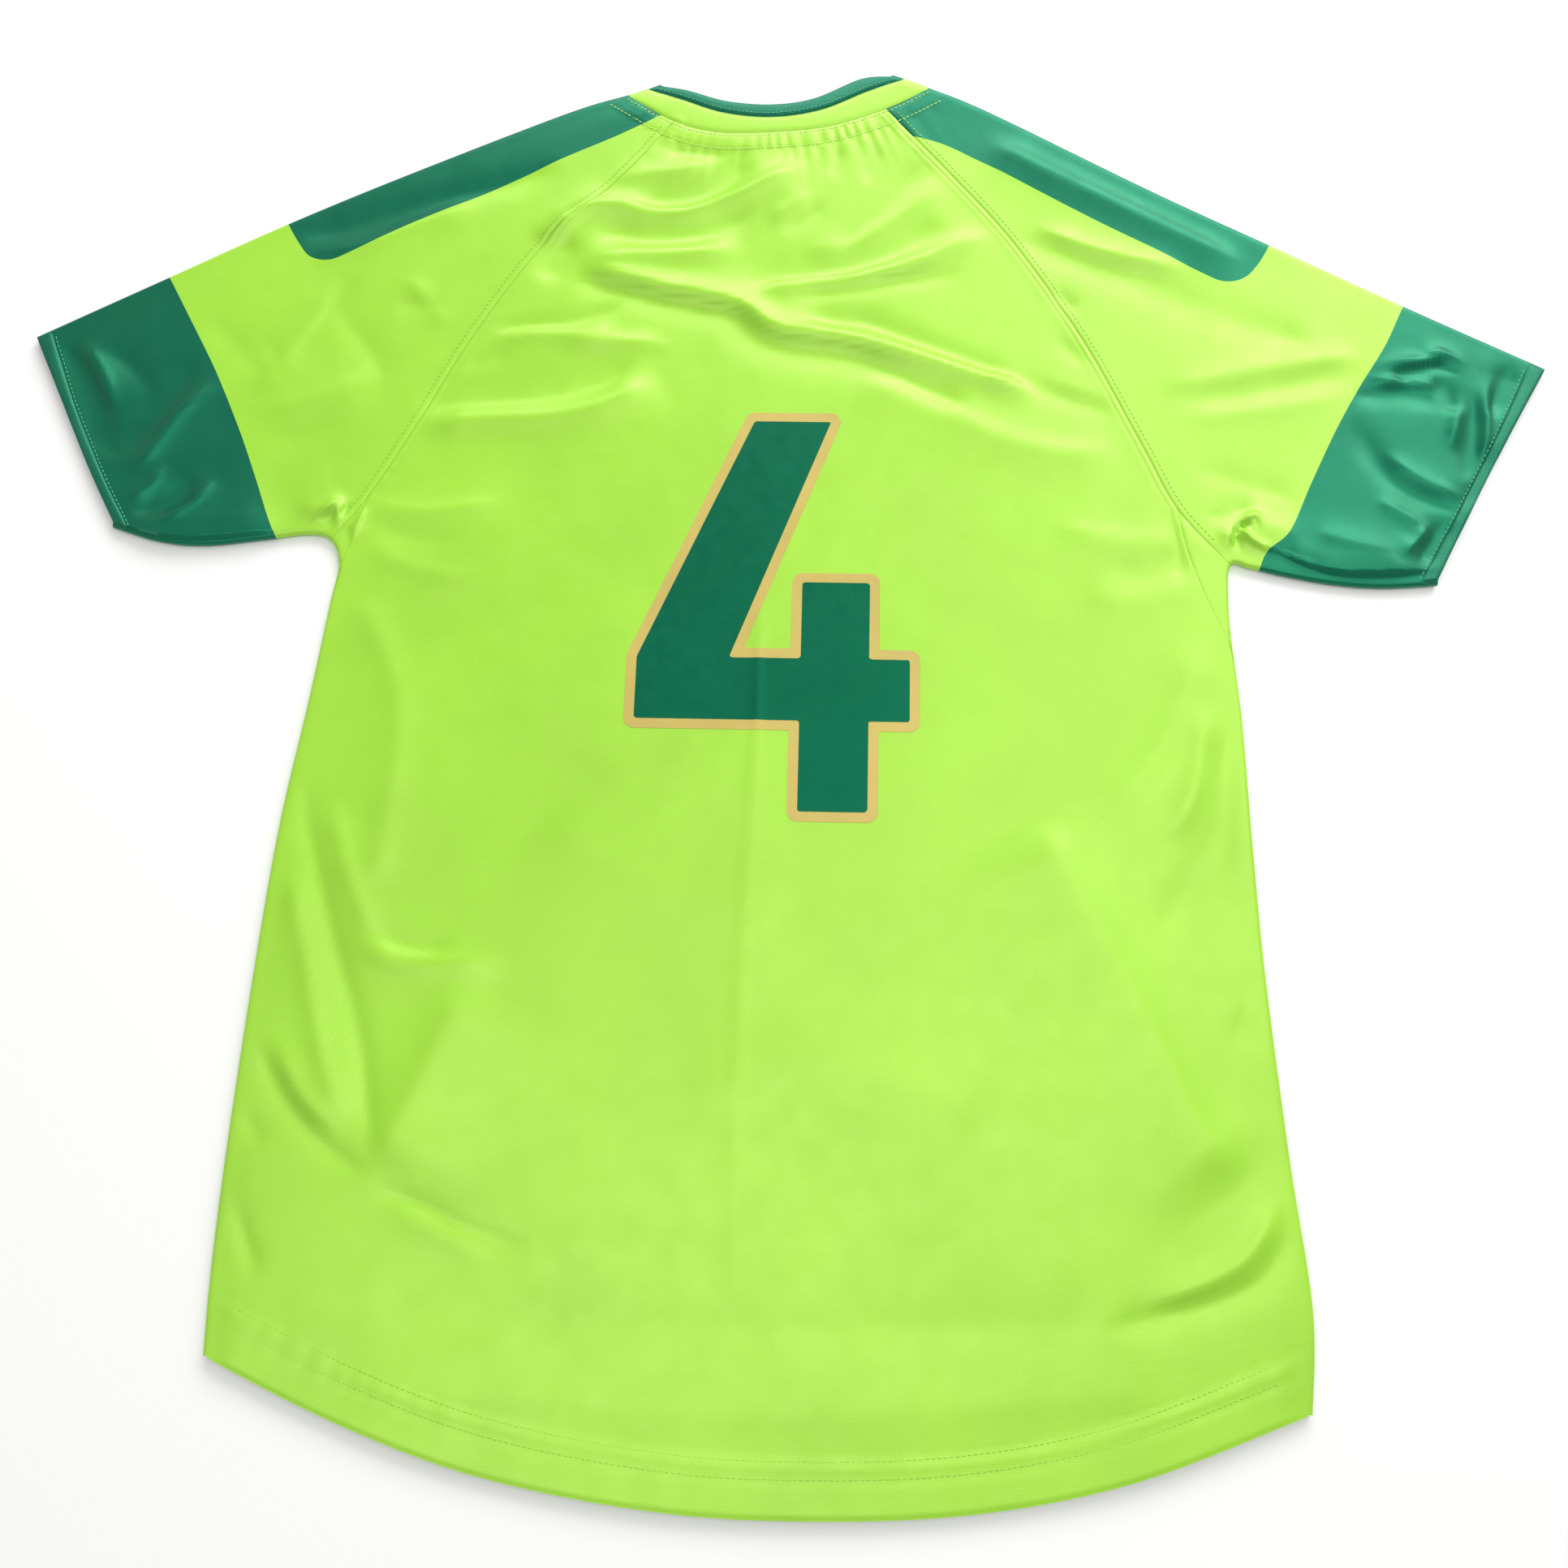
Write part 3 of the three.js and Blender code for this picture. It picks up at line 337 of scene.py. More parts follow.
BODY: dict[str, CreaseRow] = {
    "side long hollow": (-2.4, 5, 6, (-252, -38), (-236, -90), (-219, -140), (-203, -184),
        (-191, -244)),
    "side long ridge": (2.4, 8, 8, (-232, -52), (-216, -100), (-197, -136)),
    "side outer ridge": (2.2, 8, 8, (-252, -88), (-236, -140), (-222, -190), (-206, -228)),
    "hip ridge": (2.8, 8, 9, (-216, -125), (-198, -137), (-183, -142), (-152, -143), (-130, -147)),
    "hip hollow": (-1.8, 5, 5, (-208, -119), (-186, -132), (-154, -134)),
    "left facet": (3.86, 34, 14, (-148, -146), (-158, -170), (-170, -200), (-192, -250)),
    "low left hollow": (-2.4, 5, 5, (-260, -180), (-240, -212), (-219, -234), (-190, -253)),
    "low left ridge": (2.4, 6, 6, (-250, -176), (-232, -208), (-206, -231)),
    "hip crease": (-2.86, 4, 4, (-193, -253), (-164, -264), (-136, -276), (-106, -283)),
    "hip crease ridge": (1.8, 6, 8, (-188, -261), (-160, -272), (-124, -285)),
    "left corner one": (-1.7, 4, 4, (-263, -256), (-252, -280), (-242, -302)),
    "left corner two": (-1.5, 4, 4, (-264, -214), (-256, -226), (-247, -238)),
    "right facet": (4.25, 13, 34, (141, -57), (159, -92), (183, -138), (205, -184), (220, -216),
        (241, -244)),
    "right flank hollow": (-3.36, 9, 9, (250, -4), (244, -60), (222, -94), (204, -124)),
    "right flank ridge": (2.53, 9, 9, (232, 10), (226, -40), (208, -74)),
    "right nick low": (-1.7, 5, 5, (255, -128), (249, -156), (239, -180)),
    "right low hollow": (-2.38, 6, 6, (267, -254), (256, -276), (243, -290), (215, -301),
        (168, -313)),
    "right low ridge": (2.6, 6, 7, (259, -244), (246, -272), (224, -288), (188, -301)),
    "hem hollow": (-1.1, 16, 12, (-190, -312), (-90, -315), (0, -316), (90, -313), (178, -308)),
    "centre fold": (0.72, 3, 3, (-6, 64), (-6, -40), (-9, -120), (-10, -220), (-8, -334)),
    "body left long": (2.39, 13, 13, (-232, 64), (-200, 0), (-204, -110)),
    "body right long": (1.82, 13, 13, (236, 44), (208, -20), (176, -60)),
    "belly one": (1.62, 22, 22, (-120, -60), (-60, -100), (20, -110)),
    "belly two": (1.62, 24, 24, (-40, -210), (40, -190), (120, -220)),
    "hem soft ridge": (1.0, 18, 16, (-200, -344), (-90, -352), (0, -355), (90, -350), (200, -338)),
}
LEFT_SLEEVE: dict[str, CreaseRow] = {
    "stripe left hollow": (-3.22, 6, 7, (-287, 285), (-252, 294), (-221, 305), (-190, 315),
        (-160, 322), (-130, 335)),
    "stripe left ridge": (1.9, 6, 8, (-280, 273), (-246, 280), (-214, 294), (-176, 310)),
    "cuff left hollow": (-4.88, 5, 7, (-419, 216), (-402, 196), (-391, 176), (-383, 154),
        (-368, 138)),
    "cuff left ridge": (3.51, 6, 6, (-407, 218), (-388, 192), (-376, 166)),
    "band left diagonal": (-4.99, 7, 7, (-332, 204), (-350, 182), (-364, 160), (-377, 140)),
    "band left ridge": (3.89, 7, 7, (-320, 192), (-340, 170), (-352, 148), (-368, 126)),
    "band left blob": (-4.86, 6, 7, (-324, 131), (-338, 116), (-350, 110), (-363, 105)),
    "band left glow": (3.12, 5, 6, (-314, 130), (-326, 112), (-346, 99)),
    "left sleeve one": (-2.08, 10, 10, (-336, 236), (-322, 220), (-306, 204), (-292, 192)),
    "left sleeve two": (-1.1, 8, 8, (-300, 222), (-290, 206), (-284, 188)),
    "left underarm": (1.8, 20, 4, (-366, 105), (-325, 96), (-272, 103)),
    "left sleeve three": (-1.82, 8, 8, (-284, 196), (-272, 216), (-258, 240), (-246, 262)),
    "left sleeve four": (1.96, 9, 9, (-300, 180), (-284, 206), (-268, 234), (-258, 262)),
    "left sleeve five": (-1.56, 8, 8, (-262, 244), (-246, 224), (-232, 206), (-222, 186)),
    "left sleeve six": (-1.3, 7, 7, (-226, 244), (-208, 240), (-190, 236)),
    "left sleeve seven": (1.95, 14, 14, (-226, 196), (-262, 180), (-304, 168)),
    "left sleeve eight": (-1.2, 12, 12, (-236, 168), (-270, 156), (-300, 150)),
    "left sleeve nine": (1.82, 8, 8, (-222, 262), (-206, 244), (-190, 224)),
    "band left crumple one": (-2.52, 5, 6, (-392, 212), (-374, 200), (-360, 184), (-352, 166)),
    "band left crumple two": (2.38, 5, 5, (-344, 138), (-352, 124), (-366, 114)),
}
RIGHT_SLEEVE: dict[str, CreaseRow] = {
    "raglan cross hollow": (-3.24, 6, 7, (136, 289), (150, 282), (169, 273), (194, 263),
        (224, 255)),
    "raglan cross ridge": (2.64, 7, 6, (144, 297), (172, 284), (204, 274), (238, 267)),
    "stripe right ridge": (3, 8, 16, (116, 355), (160, 330), (200, 308), (240, 286), (270, 270)),
    "right top hollow": (-3.17, 9, 9, (196, 264), (230, 247), (262, 235), (306, 220)),
    "right mid ridge": (2.38, 9, 8, (214, 190), (256, 200), (296, 208), (334, 214)),
    "right mid hollow": (-2.02, 8, 8, (220, 183), (262, 189), (300, 197), (334, 205)),
    "right second ridge": (1.44, 8, 9, (226, 172), (266, 178), (300, 184), (326, 190)),
    "right low sleeve": (-1.8, 8, 8, (230, 144), (262, 134), (292, 124)),
    "pleat hollow": (-4.5, 5, 5, (322, 187), (340, 189), (356, 189), (372, 185)),
    "pleat ridge": (3.2, 4, 5, (330, 197), (350, 197), (372, 195)),
    "top line": (3.36, 4, 5, (334, 204), (352, 209), (366, 210), (374, 215), (390, 207)),
    "top line hollow": (-3.12, 3, 4, (342, 202), (358, 204), (372, 207), (387, 201)),
    "pit one": (-4.2, 5, 5, (369, 201), (376, 190), (380, 175)),
    "pit long": (-4.37, 6, 6, (392, 194), (390, 172), (387, 156), (381, 134)),
    "cuff right pit": (-4.8, 5, 5, (418, 214), (408, 196), (397, 174)),
    "cuff right ridge": (3.5, 4, 5, (402, 204), (397, 184), (395, 164), (390, 142)),
    "pit ridge": (2.6, 4, 4, (383, 193), (379, 172), (375, 154)),
    "band right diagonal": (-3.6, 6, 6, (322, 178), (333, 149), (346, 133), (362, 124), (381, 116)),
    "band right ridge": (2.8, 6, 7, (336, 156), (352, 140), (368, 131), (383, 125)),
    "low streak": (-4, 6, 6, (371, 116), (362, 100), (350, 85)),
    "low streak ridge": (3, 5, 6, (362, 113), (352, 100), (340, 90)),
    "low glow": (2.4, 10, 9, (292, 107), (318, 98), (346, 93)),
    "right underarm hollow": (-2.2, 6, 6, (272, 99), (286, 90), (304, 82)),
    "right underarm": (1.8, 4, 20, (358, 86), (306, 82), (266, 101)),
    "band right crumple one": (-2.0, 5, 6, (344, 208), (352, 200), (362, 190), (366, 176)),
    "band right crumple two": (1.8, 5, 5, (330, 126), (346, 116), (360, 108)),
    "cuff right pit low": (-2.6, 5, 6, (400, 160), (394, 146), (386, 130), (378, 116)),
}
ARMPITS: dict[str, CreaseRow] = {
    "armpit ray one": (1.9, 8, 9, (-238, 117), (-196, 110), (-146, 119)),
    "armpit ray two": (1.5, 8, 8, (-234, 92), (-190, 74), (-154, 72)),
    "armpit ray three": (2, 9, 8, (236, 104), (196, 96), (152, 109)),
    "armpit ray four": (1.6, 8, 8, (240, 80), (200, 62), (164, 66)),
    "armpit ray five": (-1.6, 6, 6, (232, 92), (204, 80), (176, 84)),
    "armpit ray six": (-1.5, 6, 6, (-230, 104), (-196, 94), (-168, 96)),
    "left pleat swell": (2.0, 11, 11, (-270, 108), (-256, 111), (-246, 112), (-236, 118)),
    "left pleat": (3.2, 2.6, 2, (-261, 95), (-257, 103), (-251, 110), (-245.5, 114), (-242.5, 109),
        (-244, 101), (-247, 95)),
    "left pleat hollow": (-6, 2, 2, (-252, 93), (-250.5, 100), (-248, 106), (-246, 110)),
    "left pleat nick": (-3, 2.2, 2.2, (-239, 116), (-240.5, 110), (-243, 104)),
    "left gusset ridge": (2.2, 3, 3, (-236, 90), (-232, 102), (-227, 116)),
    "left gusset hollow": (-2, 3, 3, (-241, 84), (-239, 92), (-236, 102)),
    "right pleat swell": (2.6, 12, 12, (246, 92), (258, 104), (276, 106), (292, 98)),
    "right pleat": (3.6, 3, 2, (250, 86), (249, 94), (252, 104), (259, 111), (265, 114), (268, 109),
        (266, 104)),
    "right pleat hollow": (-6, 2, 2, (252, 99), (255, 106), (259, 109), (264, 110)),
    "right inner pleat": (3.4, 2, 2, (253, 107), (257, 105), (261, 100), (268, 96), (276, 93)),
    "right comma": (-5, 2, 2, (255, 103), (254, 99), (252, 94)),
    "right gusset hollow": (-2, 4, 4, (219, 118), (221, 100), (223, 84), (223, 70)),
    "right shade": (-2, 7, 7, (236, 116), (246, 114), (256, 118), (268, 120)),
}
CREASES = UPPER_BACK | BODY | LEFT_SLEEVE | RIGHT_SLEEVE | ARMPITS

# Where the upper layer folds steeply down towards the underarm.
LIPS: dict[str, CreaseRow] = {
    "left lip": (3.2, 14, 1, (-372, 100.5), (-350, 94), (-326, 92.5), (-300, 94.5), (-268, 99.5)),
    "right lip": (3.2, 1, 14, (364, 84.5), (340, 81.5), (312, 81), (290, 86.5), (266, 99)),
}

# Long soft swells that no fold is responsible for: height, waves per SWELL_SPAN metres along X
# and along Y, and phase.
SWELL_SPAN = 4
SWELLS = (
    (0.30, 9.0, 3.1, 0.4),
    (0.26, -4.2, 8.3, 1.9),
    (0.20, 14.0, -9.0, 3.1),
    (0.14, 21.0, 17.0, 5.2),
    (0.10, -31.0, 24.0, 0.9),
)


def smoothstep(value: Array, low: float, high: float) -> Array:
    """A soft step from 0 at low to 1 at high."""
    t = np.clip((value - low) / (high - low), 0, 1)
    return t * t * (3 - 2 * t)


def bump_at(value: Array, centre: float, width: float) -> Array:
    """A soft bump of height 1 round a centre."""
    return np.exp(-(((value - centre) / width) ** 2))


def plateau(value: Array, start: float, full: float, ebb: float, stop: float) -> Array:
    """A level stretch of height 1 between two soft steps."""
    return smoothstep(value, start, full) * (1 - smoothstep(value, ebb, stop))


def ripple(value: Array, pitch: float, sway: float, slow: float) -> Array:
    """An uneven ripple, whose pitch sways slowly."""
    return np.sin(value / pitch + sway * np.sin(value / slow))


def carve(value: Array, grooves: tuple[Groove, ...]) -> Array:
    """The height that grooves take from the cloth, at distances from their seam."""
    return sum(-g.depth * bump_at(value, g.place, g.width) for g in grooves)


def side_points(table: tuple[Pair, ...], side: Side) -> Array:
    """A table's points for one side.

    Args:
        table: landmarks of both sides.
        side: the side wanted.

    Returns:
        The points, one row each.
    """
    if side is Side.LEFT:
        return np.array([(row.left_x, row.left_y) for row in table], float)
    return np.array([(row.right_x, row.right_y) for row in table], float)


def side_point(pair: Pair, side: Side) -> Array:
    """One landmark's point on one side."""
    return side_points((pair,), side)[0]


def reach_along(points: Array) -> Array:
    """The distance from the first point to each point of a line."""
    steps = np.linalg.norm(np.diff(points, axis=0), axis=1)
    return np.concatenate([[0.0], np.cumsum(steps)])


def fractions(points: Array) -> Array:
    """How far along a line each of its points lies, from 0 to 1."""
    reach = reach_along(points)
    return reach / reach[-1]


def along(points: Array, marks: Array) -> Array:
    """Points of a line at fractions of its length.

    Args:
        points: the line.
        marks: fractions from 0 to 1, in an array of any shape.

    Returns:
        An array of the marks' shape with one more axis for x and y.
    """
    place = fractions(points)
    wanted = np.clip(marks, 0, 1)
    return np.stack([np.interp(wanted, place, points[:, k]) for k in (0, 1)], axis=-1)


def graded(count: int, head: float = 1.0, tail: float = 1.0, ramp: int = 8) -> Array:
    """Marks from 0 to 1 that lie closer together near the ends.

    Args:
        count: how many steps there are.
        head: the first step's length, as a part of the middle ones.
        tail: the last step's length, likewise.
        ramp: over how many steps the length changes.

    Returns:
        count + 1 marks.
    """
    weights = np.ones(count)
    weights[:ramp] *= np.geomspace(head, 1, ramp)
    weights[-ramp:] *= np.geomspace(1, tail, ramp)
    marks = np.concatenate([[0.0], np.cumsum(weights)])
    return marks / marks[-1]


def shift_line(points: Array, distance: float) -> Array:
    """Shifts each point of a line to its left by a distance, with mitred corners.

    Args:
        points: the line's points, one row each.
        distance: how far, to the left of the way it runs.

    Returns:
        The shifted line.
    """
    steps = np.diff(points, axis=0)
    steps /= np.maximum(np.linalg.norm(steps, axis=1, keepdims=True), 1e-9)
    first = np.vstack([steps[:1], steps])
    second = np.vstack([steps, steps[-1:]])
    normal = np.column_stack([-first[:, 1] - second[:, 1], first[:, 0] + second[:, 0]])
    normal /= np.linalg.norm(normal, axis=1, keepdims=True)
    mitre = np.maximum(0.5, -first[:, 1] * normal[:, 0] + first[:, 0] * normal[:, 1])
    return points + normal * (distance / mitre)[:, None]


def bent(start: Array, middle: Array, end: Array, steps: int) -> Array:
    """Points of a curve that bends past a middle point."""
    t = np.linspace(0, 1, steps + 1)[:, None]
    return (1 - t) ** 2 * start + 2 * t * (1 - t) * middle + t * t * end


class Line:
    """A smooth line through points, read by the distance along it.

    On a folded edge, turn is -1 where the outside lies to the right of the way it runs and 1
    where it lies to the left.
    """

    SPAN = 40

    def __init__(self, points: Array, turn: int = 1) -> None:
        """Draws the line through its points.

        Args:
            points: the points that it passes through.
            turn: on which side the outside of a folded edge lies.
        """
        held = np.vstack([points[:1], points, points[-1:]])
        t = np.linspace(0, 1, self.SPAN, endpoint=False)[:, None]
        parts = []
        for a, b, c, d in zip(held[:-3], held[1:-2], held[2:-1], held[3:]):
            start, stop = (c - a) / 2, (d - b) / 2
            parts.append(
                (2 * b - 2 * c + start + stop) * t**3
                + (3 * c - 3 * b - 2 * start - stop) * t**2 + start * t + b
            )
        self.dense = np.vstack([*parts, held[-1:]])
        self.reach = reach_along(self.dense)
        self.length = float(self.reach[-1])
        self.turn = turn

    def length_to(self, index: int) -> float:
        """The distance along the line to one of the points it was drawn through."""
        return float(self.reach[self.SPAN * index])

    def point(self, distance: Array) -> Array:
        """Points at distances along the line."""
        d = np.clip(distance, 0, self.length)
        return np.stack([np.interp(d, self.reach, self.dense[:, k]) for k in (0, 1)], axis=-1)

    def points(self, start: float, stop: float, marks: Array) -> Array:
        """Points between two distances, at marks from 0 to 1."""
        return self.point(start + (stop - start) * marks)

    def outward(self, distance: Array) -> Array:
        """The direction out of the cloth at distances along a folded edge.

        Args:
            distance: distances along the edge.

        Returns:
            A direction of length 1 for each.
        """
        step = 0.5
        way = self.point(np.asarray(distance) + step) - self.point(np.asarray(distance) - step)
        way /= np.linalg.norm(way, axis=-1, keepdims=True)
        return np.stack([-way[..., 1], way[..., 0]], axis=-1) * self.turn

    def fold(self, distance: Array) -> tuple[Array, Array]:
        """Where the cloth starts to turn over the edge, and which way is out."""
        out = self.outward(distance)
        return self.point(distance) - EDGE_RADIUS * out, out


class Near(NamedTuple):
    """How points lie to a line: their distance, signed to its left, and the length along it."""

    distance: Array
    signed: Array
    along: Array


def near(points: Array, line: Array) -> Near:
    """Measures points against a line.

    Args:
        points: the points, one row each.
        line: the line's points.

    Returns:
        The measures, one for each point.
    """
    best = np.full(len(points), np.inf)
    signed = np.zeros(len(points))
    place = np.zeros(len(points))
    travelled = 0.0
    for start, stop in zip(line[:-1], line[1:]):
        way = stop - start
        length = float(np.hypot(*way))
        offset = points - start
        t = np.clip(offset @ way / max(length * length, 1e-12), 0, 1)
        rest = offset - t[:, None] * way
        distance = np.hypot(rest[:, 0], rest[:, 1])
        closer = distance < best
        best[closer] = distance[closer]
        side = np.sign(way[0] * offset[:, 1] - way[1] * offset[:, 0])
        signed[closer] = (side * distance)[closer]
        place[closer] = travelled + t[closer] * length
        travelled += length
    return Near(best, signed, place)


def near_within(points: Array, line: Array, reach: float) -> tuple[Array, Near]:
    """Measures only the points inside a line's bounding box, widened by a reach.

    Args:
        points: the points, one row each.
        line: the line's points.
        reach: how far the box is widened.

    Returns:
        Which points lie in the box, and the measures of those.
    """
    low, high = line.min(axis=0) - reach, line.max(axis=0) + reach
    mask = np.all((points > low) & (points < high), axis=1)
    return mask, near(points[mask], line)


class SideSeams:
    """One side's seams, shared by the pieces on both sides of each seam."""

    def __init__(self, side: Side) -> None:
        """Draws the seams of one side.

        Args:
            side: which side.
        """
        turn = -side.inward
        self.side = side
        self.under = Line(side_points(UNDER_EDGE, side), turn)
        self.shoulder = Line(side_points(SHOULDER_EDGE, side), turn)
        self.armpit = self.under.length_to(ARMPIT)
        self.crossing = self.under.length_to(CROSSING[side])
        self.neck = self.shoulder.length_to(NECK_SEAM_END)
        armpit_start = self.under.fold(self.armpit)[0]
        back = Line(np.vstack([armpit_start, side_points(RAGLAN_BACK, side)]))
        front = Line(np.vstack([armpit_start, side_points(RAGLAN_FRONT, side)]))
        low = graded(SIDE_SEAM_STEPS)
        high = graded(RAGLAN_STEPS, 0.3, 0.3, 22)
        junction = back.length_to(1)
        self.back_low = back.points(0, junction, low)
        self.back_high = back.points(junction, back.length, high)
        self.front_low = front.points(0, front.length_to(1), low)
        self.front_high = front.points(front.length_to(1), front.length, graded(UNDERSIDE_STEPS))
        self.side_seam = bent(
            self.under.fold(self.crossing)[0],
            side_point(SIDE_SEAM_VIA, side),
            back.point(junction),
            SIDE_SEAM_STEPS,
        )
        self.front_hem = side_point(FRONT_SIDE_HEM, side)

    def distances(self) -> tuple[Array, Array]:
        """Rows of the body's folded side that the back and the side panel share.

        Returns:
            The distance along the folded edge of each row, from the hem up to the side seam's
            top, and whether the row's seam is already on the upper layer.
        """
        slide_end = self.crossing + SLIDE_LENGTH
        low = graded(LOW_SIDE_STEPS, 0.2, 1.0, 8)
        rows = np.concatenate([
            self.under.length + (slide_end - self.under.length) * low,
            np.linspace(slide_end, self.crossing, SLIDE_STEPS + 1)[1:],
            np.linspace(self.crossing, self.armpit + SEAM_GAP / 2, SIDE_SEAM_STEPS + 1)[1:],
        ])
        on_top = np.arange(len(rows)) > LOW_SIDE_STEPS + SLIDE_STEPS
        return rows, on_top


class NeckLines:
    """The collar's three lines on the back and on the front, between the two shoulder turns."""

    COLUMNS = ("seam", "band", "edge")

    def __init__(self, seams: dict[Side, SideSeams]) -> None:
        """Draws the lines from the neck tables.

        Args:
            seams: each side's seams.
        """
        self.lines: dict[tuple[str, Layer], Array] = {}
        for i, column in enumerate(self.COLUMNS):
            ends = []
            for side in Side:
                path = seams[side].shoulder
                ends.append(path.fold(path.length_to(NECK_SEAM_END - i))[0])
            for layer, table in ((Layer.BACK, NECK_BACK), (Layer.FRONT, NECK_FRONT)):
                self.lines[column, layer] = self.draw(table, column, ends)

    @staticmethod
    def draw(table: tuple[NeckMark, ...], column: str, ends: list[Array]) -> Array:
        """One line from shoulder fold to shoulder fold.

        Args:
            table: the neck's landmarks on one layer.
            column: which of its lines is drawn.
            ends: where it starts and stops.

        Returns:
            Its points: the left end, the stretch between the raglans, and the right end.
        """
        marks = [(getattr(m, f"{column}_x"), getattr(m, f"{column}_y")) for m in table]
        line = Line(np.vstack([ends[0], np.array(marks, float), ends[1]]))
        left, right = line.length_to(1), line.length_to(len(table))
        short = graded(NECK_END_STEPS)
        return np.vstack([
            line.points(0, left, short)[:-1],
            line.points(left, right, graded(NECK_STEPS))[:-1],
            line.points(right, line.length, short),
        ])

    def middle(self, column: str, layer: Layer) -> Array:
        """The stretch of a line between the two raglan seams."""
        return self.lines[column, layer][NECK_END_STEPS:-NECK_END_STEPS]

    def sleeve_part(self, side: Side, layer: Layer) -> Array:
        """The neck seam's short stretch on one sleeve, from the raglan to the shoulder fold.

        Args:
            side: which sleeve.
            layer: which layer.

        Returns:
            Its points.
        """
        line = self.lines["seam", layer]
        if side is Side.LEFT:
            return line[: NECK_END_STEPS + 1][::-1][1:]
        return line[-NECK_END_STEPS - 1:][1:]


class Pattern:
    """All the lines along which the garment was cut and sewn."""

    def __init__(self) -> None:
        """Draws the seams, the neck, the hem and the cuffs."""
        self.seams = {side: SideSeams(side) for side in Side}
        self.neck = NeckLines(self.seams)
        left = self.seams[Side.LEFT].under
        right = self.seams[Side.RIGHT].under
        ends = left.fold(left.length)[0], right.fold(right.length)[0]
        self.hem = Line(np.vstack([ends[0], np.array(HEM, float), ends[1]])).dense

    def cuff(self, side: Side, back: float) -> Array:
        """A line across the sleeve's end.

        Args:
            side: which sleeve.
            back: how far it lies from the free edge.

        Returns:
            Its points, from the underarm to the shoulder.
        """
        seams = self.seams[side]
        points = np.vstack([
            seams.under.fold(back)[0],
            side_points(CUFF_EDGE, side),
            seams.shoulder.fold(seams.shoulder.length - back)[0],
        ])
        inward = points[0] + points[3]
        points[1:3] -= back * inward / np.linalg.norm(inward)
        return Line(points).dense

    def sleeve_end(self, side: Side, layer: Layer) -> Array:
        """The sleeve's end on the raglan and neck seams, just off them.

        Args:
            side: which sleeve.
            layer: which layer.

        Returns:
            Its points, from the armpit to the shoulder.
        """
        seams = self.seams[side]
        low, high = seams.back_low, seams.back_high
        if layer is Layer.FRONT:
            low, high = seams.front_low[::2], seams.front_high
        line = np.vstack([low, high[1:], self.neck.sleeve_part(side, layer)])
        return shift_line(line, side.inward * SEAM_GAP / 2)


class Crease:
    """A soft ridge or trough along a short path."""

    POINT_STEP = 6

    def __init__(self, row: CreaseRow) -> None:
        """Draws the crease.

        Args:
            row: its row of a table.
        """
        self.rise, self.left, self.right, *path = row
        line = Line(np.array(path, float)).dense
        self.line = np.vstack([line[:-1:self.POINT_STEP], line[-1:]])
        self.length = reach_along(self.line)[-1]

    def lift(self, points: Array) -> Array:
        """How much the crease lifts some points.

        Args:
            points: places, one row each.

        Returns:
            The lift of each.
        """
        lift = np.zeros(len(points))
        mask, found = near_within(points, self.line, 4 * max(self.left, self.right))
        reach = np.where(found.signed > 0, self.left, self.right)
        from_end = np.minimum(found.along, self.length - found.along)
        taper = smoothstep(from_end, 0, min(TAPER_SHARE * self.length, TAPER_MOST))
        crest = SHARPNESS * reach
        away = (np.hypot(found.distance, crest) - crest) / (SPREAD * reach)
        lift[mask] = self.rise * taper * np.exp(-away)
        return lift


